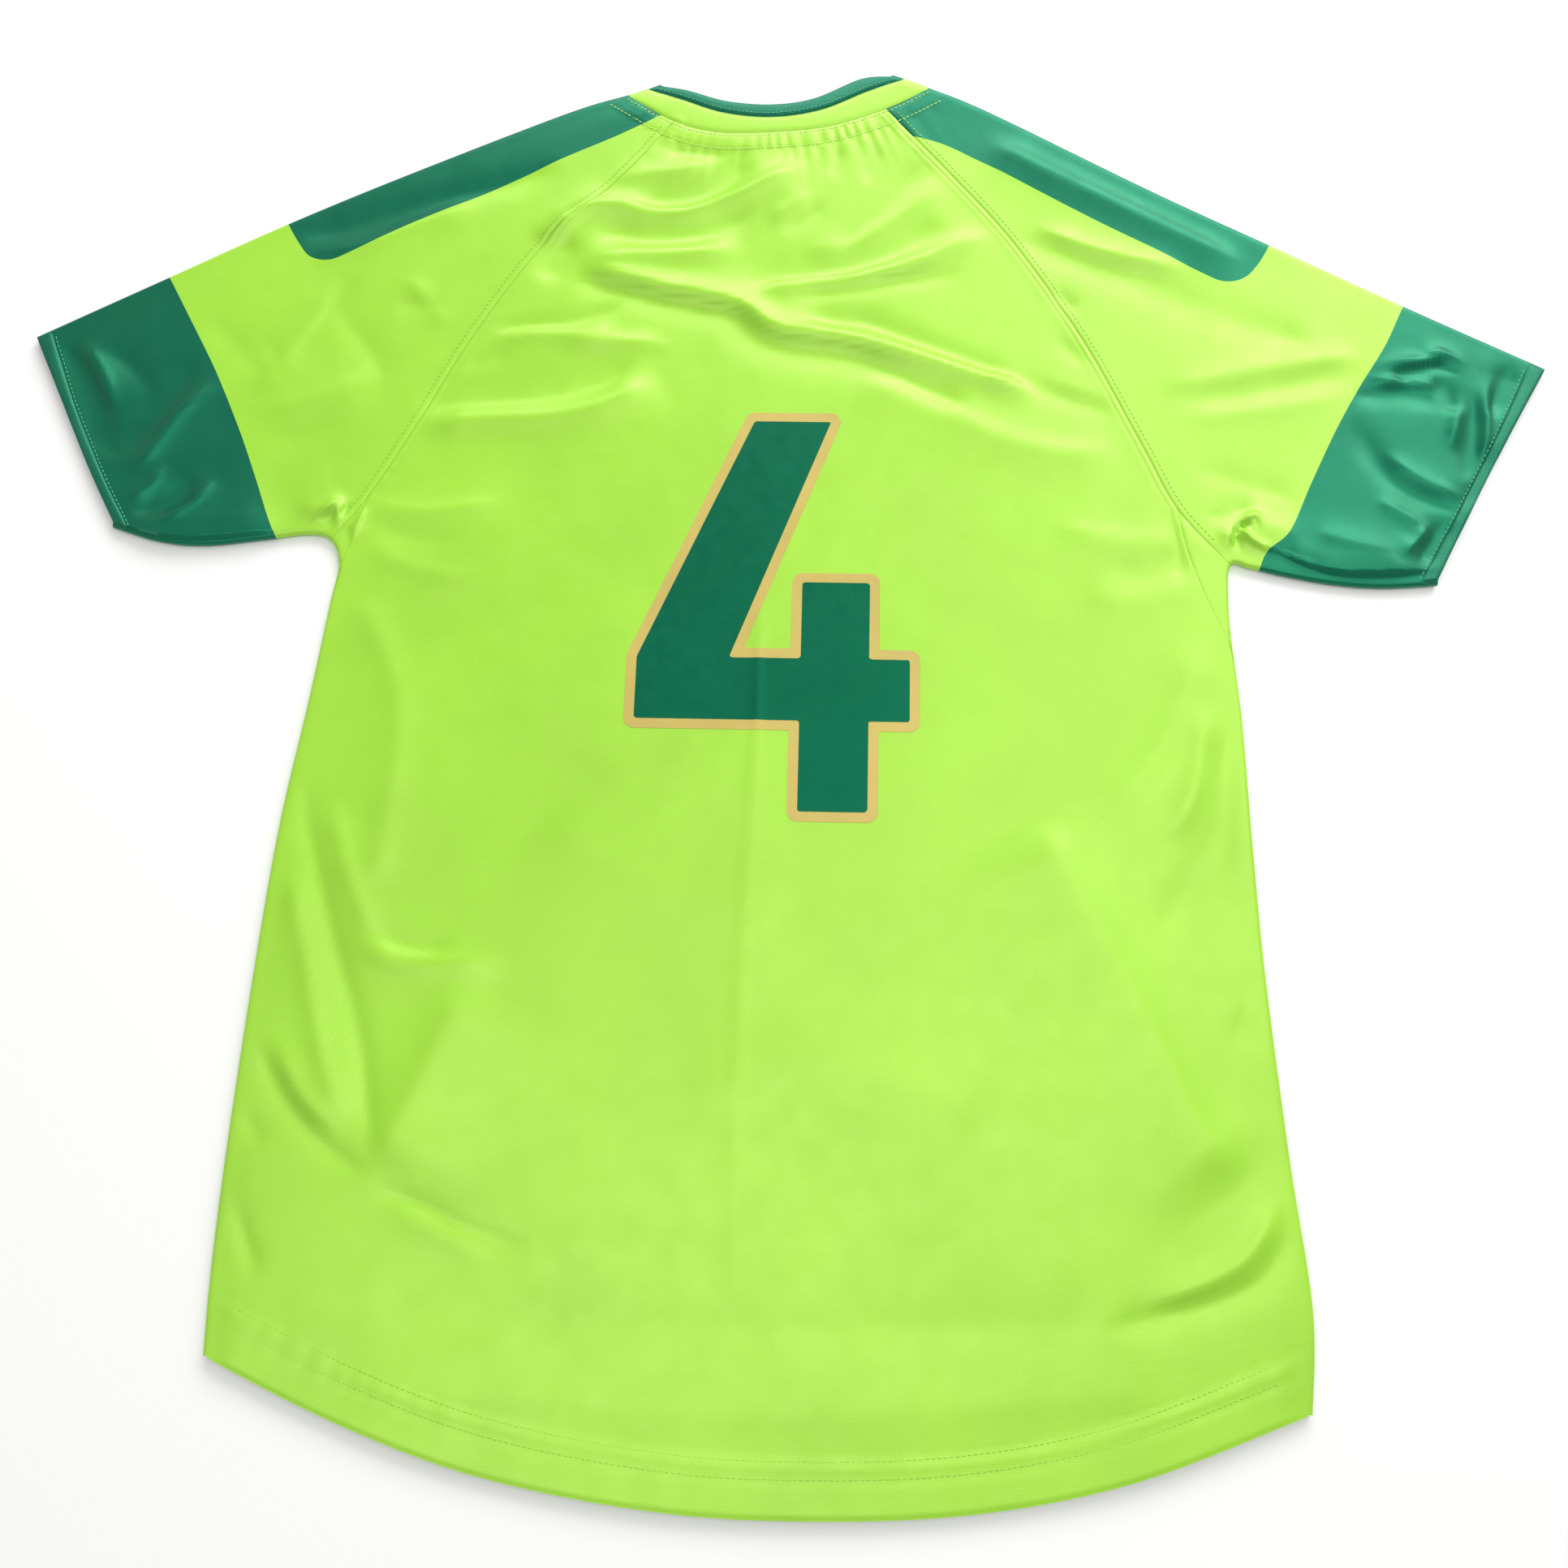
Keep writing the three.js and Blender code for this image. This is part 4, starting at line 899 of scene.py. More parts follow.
class Drape:
    """The height of the upper layer of cloth, with its folds, seams and doubled edges."""

    def __init__(self, pattern: Pattern) -> None:
        """Gathers the lines that shape the cloth.

        Args:
            pattern: the lines of the cut.
        """
        self.creases = [Crease(row) for row in CREASES.values()]
        self.lips = [Crease(row) for row in LIPS.values()]
        self.raglans = []
        self.side_seams = []
        self.edges = []
        for side, seams in pattern.seams.items():
            self.raglans.append((-side.inward, np.vstack([seams.back_low, seams.back_high[1::2]])))
            self.side_seams.append(seams.side_seam)
            self.side_seams.append(pattern.cuff(side, CUFF_WIDTH)[::4])
            for path in (seams.under, seams.shoulder):
                self.edges.append(path.dense[::6])
        self.neck = pattern.neck.lines["seam", Layer.BACK][::2]
        self.binding = pattern.neck.lines["band", Layer.BACK][::3]
        self.hem = pattern.hem[::4]

    def raglan_detail(self, points: Array) -> Array:
        """The raglan seams: a groove, and the turned-in allowance with its row of stitches.

        Args:
            points: places, one row each.

        Returns:
            How much it lifts each place.
        """
        detail = np.zeros(len(points))
        for sign, line in self.raglans:
            mask, found = near_within(points, line, RAGLAN_REACH)
            d = sign * found.signed
            lift = RAGLAN_LIFT + RAGLAN_PUCKER * ripple(found.along, 1.5, 2, 11)
            detail[mask] += plateau(d, *RAGLAN_ALLOWANCE) * lift + carve(d, RAGLAN_GROOVES)
        return detail

    def neck_detail(self, points: Array) -> Array:
        """The neck seam: a groove, and the puckered tape between its two rows of stitches.

        Args:
            points: places, one row each.

        Returns:
            How much it lifts each place.
        """
        detail = np.zeros(len(points))
        mask, found = near_within(points, self.neck, NECK_REACH)
        d = -found.signed
        s = found.along
        pucker = ripple(s, 1.2, 2.2, 7.3) * (0.65 + 0.35 * np.sin(s / 17 + 1))
        gathers = ripple(s, 1.3, 1.9, 8.3) * (0.25 + 0.75 * np.sin(s / 31 + 0.4) ** 2)
        fading = np.exp(-np.maximum(d - GATHERS_FADE, 0) / GATHERS_FADE)
        detail[mask] = (
            plateau(d, *NECK_TAPE) * (TAPE_LIFT + TAPE_PUCKER * pucker)
            + GATHERS_LIFT * gathers * smoothstep(d, 10, 14) * fading
            + carve(d, NECK_GROOVES)
        )
        return detail

    def hem_detail(self, points: Array) -> Array:
        """The hem: a doubled edge, pulled in at its two rows of stitches.

        Args:
            points: places, one row each.

        Returns:
            How much it lifts each place.
        """
        detail = np.zeros(len(points))
        mask, found = near_within(points, self.hem, HEM_REACH)
        d = found.signed
        s = found.along
        pucker = ripple(s, 1.9, 1.7, 13) * (0.5 + 0.5 * np.sin(s / 41))
        edge, full, ebb, stop = HEM_EDGE
        doubled = HEM_LIFT * (smoothstep(d, edge, full) - smoothstep(d, ebb, stop))
        detail[mask] = doubled + HEM_PUCKER * pucker * bump_at(d, 21, 7) + carve(d, HEM_GROOVES)
        return detail

    def height(self, points: Array) -> Array:
        """Height of the upper layer's outer face.

        Args:
            points: places, one row each.

        Returns:
            The height over the table at each.
        """
        x, y = points[:, 0] * MM, points[:, 1] * MM
        lift = np.full(len(points), LOFT)
        for size, waves_x, waves_y, phase in SWELLS:
            lift += size * np.sin(2 * math.pi * (waves_x * x + waves_y * y) / SWELL_SPAN + phase)
        for crease in self.creases:
            lift += crease.lift(points)
        free = CONTACT + 0.5 * (lift + np.hypot(lift, SOFTNESS))
        free += self.raglan_detail(points) + self.neck_detail(points) + self.hem_detail(points)
        grooves = [(line, SIDE_GROOVE) for line in self.side_seams]
        for line, groove in [*grooves, (self.binding, BINDING_GROOVE)]:
            mask, found = near_within(points, line, GROOVE_REACH)
            free[mask] += carve(found.distance, (groove,))
        edge = np.full(len(points), np.inf)
        for line in self.edges:
            mask, found = near_within(points, line, EDGE_BLEND + 1)
            edge[mask] = np.minimum(edge[mask], found.distance)
        part = smoothstep(edge, EDGE_RADIUS, EDGE_BLEND)
        height = 2 * EDGE_RADIUS + (free - 2 * EDGE_RADIUS) * part
        for lip in self.lips:
            height += lip.lift(points)
        return np.maximum(height, CONTACT + LEAST_LIFT)

    def upper(self, points: Array) -> Array:
        """Places on the upper layer over points of the table, in an array of any shape.

        Args:
            points: places on the table.

        Returns:
            The places, with their heights.
        """
        flat = points.reshape(-1, 2)
        place = np.column_stack([flat, self.height(flat)])
        return place.reshape(*points.shape[:-1], 3)


def lower(points: Array) -> Array:
    """Places on the lower layer, which lies flat."""
    return np.concatenate([points, np.zeros((*points.shape[:-1], 1))], axis=-1)


def turning(start: Array, out: Array, part: Array) -> Array:
    """Places on the turn of a folded edge.

    Args:
        start: where the turn starts.
        out: the direction out of the cloth.
        part: how far round the turn, from 0 on the upper layer to 1 on the lower.

    Returns:
        The places.
    """
    angle = math.pi * (0.5 - part)
    flat = start + EDGE_RADIUS * np.cos(angle)[..., None] * out
    height = EDGE_RADIUS * (1 + np.sin(angle))
    return np.concatenate([flat, height[..., None]], axis=-1)


def patch(first: Array, last: Array, side_a: Array, side_b: Array) -> Array:
    """Rows of points between a first and a last line, with the row ends on two side lines.

    Args:
        first: the first line.
        last: the last line.
        side_a: the rows' starts.
        side_b: the rows' ends.

    Returns:
        The points, rows by columns.
    """
    along_first, along_last = fractions(first), fractions(last)
    b = 0.5 * (fractions(side_a) + fractions(side_b))[:, None]
    a = along_first + (along_last - along_first) * b
    return coons(a, b, first[None], last[None], side_a, side_b)


def coons(a: Array, b: Array, first: Array, last: Array, side_a: Array, side_b: Array) -> Array:
    """Points inside four border lines.

    Args:
        a: how far across each point lies, rows by columns.
        b: how far up each row lies.
        first: the first line at each point, rows (or one row) by columns.
        last: the last line, likewise.
        side_a: the row ends at a = 0.
        side_b: the row ends at a = 1.

    Returns:
        The points, rows by columns.
    """
    a, b = a[..., None], b[..., None]
    corners = side_a[0], side_b[0], side_a[-1], side_b[-1]
    return (
        (1 - b) * first + b * last + (1 - a) * side_a[:, None] + a * side_b[:, None]
        - (1 - a) * (1 - b) * corners[0] - a * (1 - b) * corners[1]
        - (1 - a) * b * corners[2] - a * b * corners[3]
    )


@dataclass
class Solid:
    """A closed mesh in millimetres. kinds gives each face's finish."""

    vertices: Array
    faces: list[tuple[int, ...]]
    kinds: list[int] | None = None


def quads_of(index: Array) -> Array:
    """The four-sided faces between neighbours of a grid of vertex numbers."""
    corners = index[:-1, :-1], index[:-1, 1:], index[1:, 1:], index[1:, :-1]
    return np.column_stack([corner.ravel() for corner in corners])


def grid_normals(places: Array, ring: bool) -> Array:
    """The direction across the cloth at each place of a grid.

    Args:
        places: the grid, rows by columns.
        ring: whether each row's last place is next to its first.

    Returns:
        A direction of length 1 for each place.
    """
    if ring:
        across = np.roll(places, -1, axis=1) - np.roll(places, 1, axis=1)
    else:
        across = np.gradient(places, axis=1)
    normal = np.cross(across, np.gradient(places, axis=0))
    return normal / np.maximum(np.linalg.norm(normal, axis=-1, keepdims=True), 1e-9)


def shell(outer: Array, ring: bool = False, facing: int = 1) -> Solid:
    """A closed wall of cloth behind a grid of outer places.

    Args:
        outer: the places, rows by columns.
        ring: whether each row's last place is next to its first.
        facing: 1 where the outside of the highest places looks up, -1 where it looks down.

    Returns:
        The wall.
    """
    rows, across = outer.shape[:2]
    normal = grid_normals(outer, ring)
    top = outer[..., 2] >= 0.5 * outer[..., 2].max()
    sign = facing * np.sign(normal[..., 2][top].mean())
    inner = outer - sign * CLOTH * normal
    inner[..., 2] = np.clip(inner[..., 2], 0, None)
    count = rows * across
    index = np.arange(count).reshape(rows, across)
    if ring:
        index = np.hstack([index, index[:, :1]])
    grid = quads_of(index)
    quads = [grid, count + grid[:, [0, 3, 2, 1]]]
    rims = [(index[0], False), (index[-1], True)]
    if not ring:
        rims += [(index[:, 0], True), (index[:, -1], False)]
    for rim, flip in rims:
        strip = np.column_stack([rim[:-1], count + rim[:-1], count + rim[1:], rim[1:]])
        quads.append(strip[:, ::-1] if flip else strip)
    faces = np.vstack(quads)
    if sign < 0:
        faces = faces[:, ::-1]
    vertices = np.vstack([outer.reshape(-1, 3), inner.reshape(-1, 3)])
    return Solid(vertices, [tuple(face) for face in faces.tolist()])


def split(solid: Solid, values: Array) -> Solid:
    """Cuts a mesh's faces where a value at its vertices passes through 0.

    Args:
        solid: the mesh.
        values: one value for each vertex.

    Returns:
        The same shape, whose faces are of kind 1 where the value is below 0 and 0 elsewhere.
    """
    vertices = list(solid.vertices)
    level = list(np.where(np.abs(values) < 1e-6, 1e-6, values))
    made: dict[tuple[int, int], int] = {}

    def crossing(a: int, b: int) -> int:
        """The vertex where an edge passes through 0, made once for both of its faces.

        Args:
            a: the edge's first vertex.
            b: its second one.

        Returns:
            The new vertex's number.
        """
        key = (min(a, b), max(a, b))
        if key not in made:
            t = level[a] / (level[a] - level[b])
            made[key] = len(vertices)
            vertices.append(solid.vertices[a] * (1 - t) + solid.vertices[b] * t)
        return made[key]

    faces, kinds = [], []
    for face in solid.faces:
        below = [level[i] < 0 for i in face]
        if all(below) or not any(below):
            faces.append(face)
            kinds.append(int(below[0]))
            continue
        parts: dict[bool, list[int]] = {False: [], True: []}
        for i, (a, b) in enumerate(zip(face, face[1:] + face[:1])):
            parts[below[i]].append(a)
            if below[i] != below[(i + 1) % len(face)]:
                middle = crossing(a, b)
                parts[False].append(middle)
                parts[True].append(middle)
        for kind, part in parts.items():
            if len(part) > 2:
                faces.append(tuple(part))
                kinds.append(int(kind))
    return Solid(np.array(vertices), faces, kinds)


def make_object(name: str, solid: Solid, finishes: list[Material]) -> Piece:
    """Puts a mesh into the scene, in metres and smoothly shaded.

    Args:
        name: the object's name.
        solid: its mesh.
        finishes: the materials of its faces, by kind.

    Returns:
        The object.
    """
    mesh = bpy.data.meshes.new(name)
    mesh.from_pydata((solid.vertices * MM).tolist(), [], solid.faces)
    for finish in finishes:
        mesh.materials.append(finish)
    if solid.kinds is not None:
        mesh.polygons.foreach_set("material_index", solid.kinds)
    mesh.polygons.foreach_set("use_smooth", [True] * len(mesh.polygons))
    mesh.validate()
    mesh.set_sharp_from_angle(angle=SHARP_ANGLE)
    mesh.update()
    piece = bpy.data.objects.new(name, mesh)
    bpy.context.scene.collection.objects.link(piece)
    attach(piece, "root")
    return piece


class Nodes:
    """A short way to write a material's nodes round one shader."""

    LOOP_WARP = 0.4
    CRUMPLE_SCALE = 45.0

    def __init__(self, name: str) -> None:
        """Starts a node material with its shader and output.

        Args:
            name: the material's name.
        """
        self.material = bpy.data.materials.new(name)
        self.material.use_nodes = True
        self.tree = self.material.node_tree
        self.tree.nodes.clear()
        self.shader = self.add("ShaderNodeBsdfPrincipled")
        self.place = self.add("ShaderNodeTexCoord").outputs["Object"]
        output = self.add("ShaderNodeOutputMaterial")
        self.tree.links.new(self.shader.outputs[0], output.inputs["Surface"])

    def add(self, kind: str, **settings: object) -> bpy.types.Node:
        """Adds one node and sets its options.

        Args:
            kind: the node's type.
            settings: its options.

        Returns:
            The node.
        """
        node = self.tree.nodes.new(kind)
        for key, value in settings.items():
            setattr(node, key, value)
        return node

    def feed(self, node: bpy.types.Node, inputs: dict[int | str, object]) -> None:
        """Links or sets some of a node's inputs.

        Args:
            node: the node.
            inputs: what each input, given by its number or name, is linked or set to.
        """
        for key, value in inputs.items():
            if isinstance(value, Socket):
                self.tree.links.new(value, node.inputs[key])
            else:
                node.inputs[key].default_value = value

    def finish(self, inputs: dict[int | str, object]) -> Material:
        """Links or sets the shader's inputs and gives back the material."""
        self.feed(self.shader, inputs)
        return self.material

    def maths(self, operation: str, *values: object) -> Socket:
        """One step of arithmetic on numbers or sockets.

        Args:
            operation: the step's name.
            values: what it works on.

        Returns:
            The result's socket.
        """
        node = self.add("ShaderNodeMath", operation=operation)
        self.feed(node, dict(enumerate(values)))
        return node.outputs[0]

    def noise(self, scale: float, detail: float) -> Socket:
        """Soft noise, with scale in waves per metre.

        Args:
            scale: waves per metre.
            detail: how many finer layers it has.

        Returns:
            The result's socket.
        """
        node = self.add("ShaderNodeTexNoise")
        self.feed(node, {"Scale": scale, "Detail": detail, "Vector": self.place})
        return node.outputs["Fac"]

    def waves(self, direction: str, pitch: float) -> Socket:
        """Nearly even waves along X or Y, with a pitch in millimetres.

        Args:
            direction: X or Y.
            pitch: millimetres from wave to wave.

        Returns:
            The result's socket.
        """
        node = self.add("ShaderNodeTexWave", bands_direction=direction, wave_profile="SIN")
        scale = 2 * math.pi / (20 * pitch * MM)
        self.feed(node, {"Scale": scale, "Distortion": self.LOOP_WARP, "Vector": self.place})
        return node.outputs["Fac"]

    def loops(self, wale: float, course: float) -> Socket:
        """The rows and columns of a knit's loops."""
        return self.maths("MULTIPLY", self.waves("X", wale), self.waves("Y", course))

    def range(self, value: Socket, low: float, high: float, to_low: float,
              to_high: float) -> Socket:
        """Maps a value from one range to another.

        Args:
            value: the value.
            low: the start of its range.
            high: the end of its range.
            to_low: what the start becomes.
            to_high: what the end becomes.

        Returns:
            The result's socket.
        """
        node = self.add("ShaderNodeMapRange")
        self.feed(node, dict(enumerate((value, low, high, to_low, to_high))))
        return node.outputs[0]

    def mix(self, factor: object, first: object, second: object) -> Socket:
        """A mix of two colours.

        Args:
            factor: the second colour's share.
            first: a colour.
            second: another one.

        Returns:
            The result's socket.
        """
        node = self.add("ShaderNodeMix", data_type="RGBA")
        self.feed(node, {0: factor, 6: first, 7: second})
        return node.outputs[2]

    def bump(self, height: Socket, depth: float, below: Socket | None = None) -> Socket:
        """A bump of a depth in millimetres, on top of another bump where one is given.

        Args:
            height: the pattern.
            depth: its depth in millimetres.
            below: a bump that it lies on.

        Returns:
            The result's socket.
        """
        node = self.add("ShaderNodeBump")
        self.feed(node, {"Strength": 1.0, "Distance": depth * MM, "Height": height})
        if below is not None:
            self.feed(node, {"Normal": below})
        return node.outputs[0]

    def weave(self, loops: Socket, relief: float, crumple: float) -> Socket:
        """The loops' relief over the cloth's small crumple."""
        return self.bump(loops, relief, self.bump(self.noise(self.CRUMPLE_SCALE, 3.0), crumple))


NOISE_RANGE = (0.3, 0.7)
FINE_RANGE = (0.35, 0.65)


def linear(colour: Colour, gain: float = 1.0) -> tuple[float, float, float, float]:
    """A screen colour (0 to 255) as the shader's linear one, scaled by a gain.

    Args:
        colour: the screen colour.
        gain: what it is multiplied by.

    Returns:
        Red, green, blue and a full alpha.
    """
    parts = []
    for value in colour:
        part = value / 255
        part = part / 12.92 if part <= 0.04045 else ((part + 0.055) / 1.055) ** 2.4
        parts.append(min(1.0, part * gain))
    return (*parts, 1.0)


@dataclass(frozen=True)
class Knit:
    """A fine satin-faced polyester knit."""

    name: str
    colour: Colour
    gleam: Colour = (255, 255, 255)
    specular: float = 1.0
    index: float = 1.62
    roughness: float = 0.4
    sheen: float = 0.06
    course: float = 1.1
    wale: float = 0.85
    relief: float = 0.03
    crumple: float = 0.22

    def material(self) -> Material:
        """The knit as a node material.

        Returns:
            The material.
        """
        nodes = Nodes(self.name)
        loops = nodes.loops(self.wale, self.course)
        broad = nodes.range(nodes.noise(14.0, 3.0), *NOISE_RANGE, 0.0, 1.0)
        tone = nodes.mix(broad, linear(self.colour, 0.94), linear(self.colour, 1.05))
        # Painted shade: the base colour darkens towards a darker copy of the knit's colour in the
        # hollows between its loops.
        hollow = nodes.mix(nodes.range(loops, 0.0, 1.0, 0.0, 0.09), tone, linear(self.colour, 0.55))
        fine = nodes.range(nodes.noise(900.0, 1.0), *FINE_RANGE, 0.0, 0.10)
        gloss = nodes.noise(60.0, 2.0)
        rough = self.roughness - 0.04, self.roughness + 0.05
        return nodes.finish({
            "Base Color": nodes.mix(fine, hollow, linear(self.colour, 0.8)),
            "Roughness": nodes.range(gloss, *NOISE_RANGE, *rough),
            "IOR": self.index,
            "Specular IOR Level": self.specular,
            "Specular Tint": linear(self.gleam),
            "Sheen Weight": self.sheen,
            "Sheen Roughness": 0.4,
            "Sheen Tint": linear(self.colour, 1.3),
            "Normal": nodes.weave(loops, self.relief, self.crumple),
        })


@dataclass(frozen=True)
class Film:
    """A pressed-on film, smoother than the knit whose weave shows through it."""

    name: str
    colour: Colour
    gleam: Colour
    roughness: float = 0.42

    def material(self) -> Material:
        """A pressed-on film, smoother than the knit whose weave shows through it in relief, with
        painted shade in its hollows.

        Returns:
            The material.
        """
        nodes = Nodes(self.name)
        loops = nodes.loops(1.0, 1.25)
        broad = nodes.range(nodes.noise(22.0, 3.0), *NOISE_RANGE, 0.0, 1.0)
        tone = nodes.mix(broad, linear(self.colour, 0.92), linear(self.colour, 1.08))
        # Painted shade: the film's colour darkens in the hollows of the weave under it.
        hollow = nodes.range(loops, 0.0, 1.0, 0.0, 0.12)
        gloss = nodes.noise(120.0, 2.0)
        rough = self.roughness - 0.05, self.roughness + 0.06
        return nodes.finish({
            "Base Color": nodes.mix(hollow, tone, linear(self.colour, 0.6)),
            "Roughness": nodes.range(gloss, *NOISE_RANGE, *rough),
            "IOR": 1.45,
            "Specular IOR Level": 1.0,
            "Specular Tint": linear(self.gleam),
            "Normal": nodes.weave(loops, 0.04, 0.22),
        })


@dataclass(frozen=True)
class Thread:
    """Polyester sewing thread."""

    name: str
    colour: Colour

    def material(self) -> Material:
        """The thread as a node material.

        Returns:
            The material.
        """
        nodes = Nodes(self.name)
        twist = nodes.noise(2500.0, 1.0)
        part = nodes.range(twist, *FINE_RANGE, 0.0, 1.0)
        return nodes.finish({
            "Base Color": nodes.mix(part, linear(self.colour, 0.8), linear(self.colour, 1.1)),
            "Roughness": nodes.range(twist, *NOISE_RANGE, 0.4, 0.55),
            "Normal": nodes.bump(twist, 0.05),
        })


@dataclass(frozen=True)
class TableTop:
    """The plain pale surface that the jersey lies on."""

    name: str = "pale_surface"
    colour: Colour = (244, 244, 242)

    def material(self) -> Material:
        """The surface as a node material.

        Returns:
            The material.
        """
        nodes = Nodes(self.name)
        return nodes.finish({
            "Base Color": nodes.mix(
                nodes.noise(3.0, 2.0), linear(self.colour, 0.985), linear(self.colour, 1.0)
            ),
            "Roughness": 0.9,
            "Specular IOR Level": 0.1,
        })


@dataclass(frozen=True)
class Wardrobe:
    """The garment's finishes, each made once."""

    lime: Material
    green: Material
    trim: Material
    figure: Material
    figure_edge: Material
    lime_thread: Material
    pale_thread: Material
    green_thread: Material

    @classmethod
    def make(cls) -> "Wardrobe":
        """Makes every finish.

        Returns:
            The wardrobe.
        """
        return cls(
            lime=Knit("lime_knit", (153, 215, 54), (243, 255, 178)).material(),
            green=Knit("green_printed_knit", (7, 82, 60), (95, 255, 195), index=1.6).material(),
            trim=Knit("green_rib", (7, 80, 58), (110, 255, 205), index=1.6, course=0.9, relief=0.1,
                      crumple=0.2).material(),
            figure=Film("dark_green_film", (6, 76, 56), (70, 255, 180)).material(),
            figure_edge=Film("tan_film", (194, 173, 90), (255, 248, 205)).material(),
            lime_thread=Thread("lime_thread", (158, 214, 74)).material(),
            pale_thread=Thread("pale_thread", (208, 242, 132)).material(),
            green_thread=Thread("green_thread", (84, 180, 142)).material(),
        )


@dataclass(frozen=True)
class Cut:
    """The flat size of what shows of a piece, in metres and square metres."""

    width: float
    length: float
    area: float


@dataclass
class ClothPiece:
    """What every cut piece is made from: the pattern's lines, the drape and the finishes."""

    pattern: Pattern
    drape: Drape
    wardrobe: Wardrobe

    def dress(self, solid: Solid, node: str, slot: str, cut: Cut, finishes: list[Material],
              extras: list[Piece] | None = None) -> Piece:
        """Makes the piece's object, hides the CAD node that it stands for and logs its face count.

        Args:
            solid: its mesh.
            node: the CAD node that it stands for.
            slot: the record's slot of its finish; not used.
            cut: its flat size; not used.
            finishes: the materials of its faces, by kind.
            extras: separate pieces on it, such as stitching; not used.

        Returns:
            The object.
        """
        piece = make_object(f"{node}_cloth", solid, finishes)
        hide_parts(node)
        LOG.info("%s: %d faces", piece.name, len(solid.faces))
        return piece


class SideRows:
    """The rows across one folded side of the body, which the back and a side panel share."""

    def __init__(self, seams: SideSeams) -> None:
        """Works out the fold, the two seams and the slide of each row.

        Args:
            seams: the side's seams.
        """
        distance, self.on_top = seams.distances()
        self.start, self.out = seams.under.fold(distance)
        travelled = (seams.under.length - distance) / (seams.under.length - seams.armpit)
        top = seams.front_low[-1]
        self.front_seam = seams.front_hem + (top - seams.front_hem) * travelled[:, None]
        slide = np.clip((distance - seams.crossing) / SLIDE_LENGTH, 0, 1)
        self.wrap = slide * (HALF_TURN + EDGE_OVERLAP)
        sliding = (self.wrap > 0) & (slide < 1)
        self.clearance = np.where(sliding, SLIDE_GAP, SEAM_GAP / 2)
        self.upper_seam = np.repeat(seams.side_seam[:1], len(distance), axis=0)
        self.upper_seam[self.on_top] = seams.side_seam[1:]
        self.end = np.where(self.on_top[:, None], self.upper_seam, self.start)

    def place(self, distance: Array, upper_points: Array, drape: Drape) -> Array:
        """Places on the rows.

        Args:
            distance: how far past the start of the turn each place lies, rows by columns.
            upper_points: where the places lie that are still on the upper layer.
            drape: the upper layer's height.

        Returns:
            The places, rows by columns.
        """
        start, out = self.start[:, None], self.out[:, None]
        inward = self.front_seam - self.start
        inward = (inward / np.linalg.norm(inward, axis=1, keepdims=True))[:, None]
        under = lower(start + inward * (distance - HALF_TURN)[..., None])
        turned = turning(start, out, np.clip(distance / HALF_TURN, 0, 1))
        over = drape.upper(upper_points)
        turned = np.where((distance <= 0)[..., None], over, turned)
        return np.where((distance >= HALF_TURN)[..., None], under, turned)


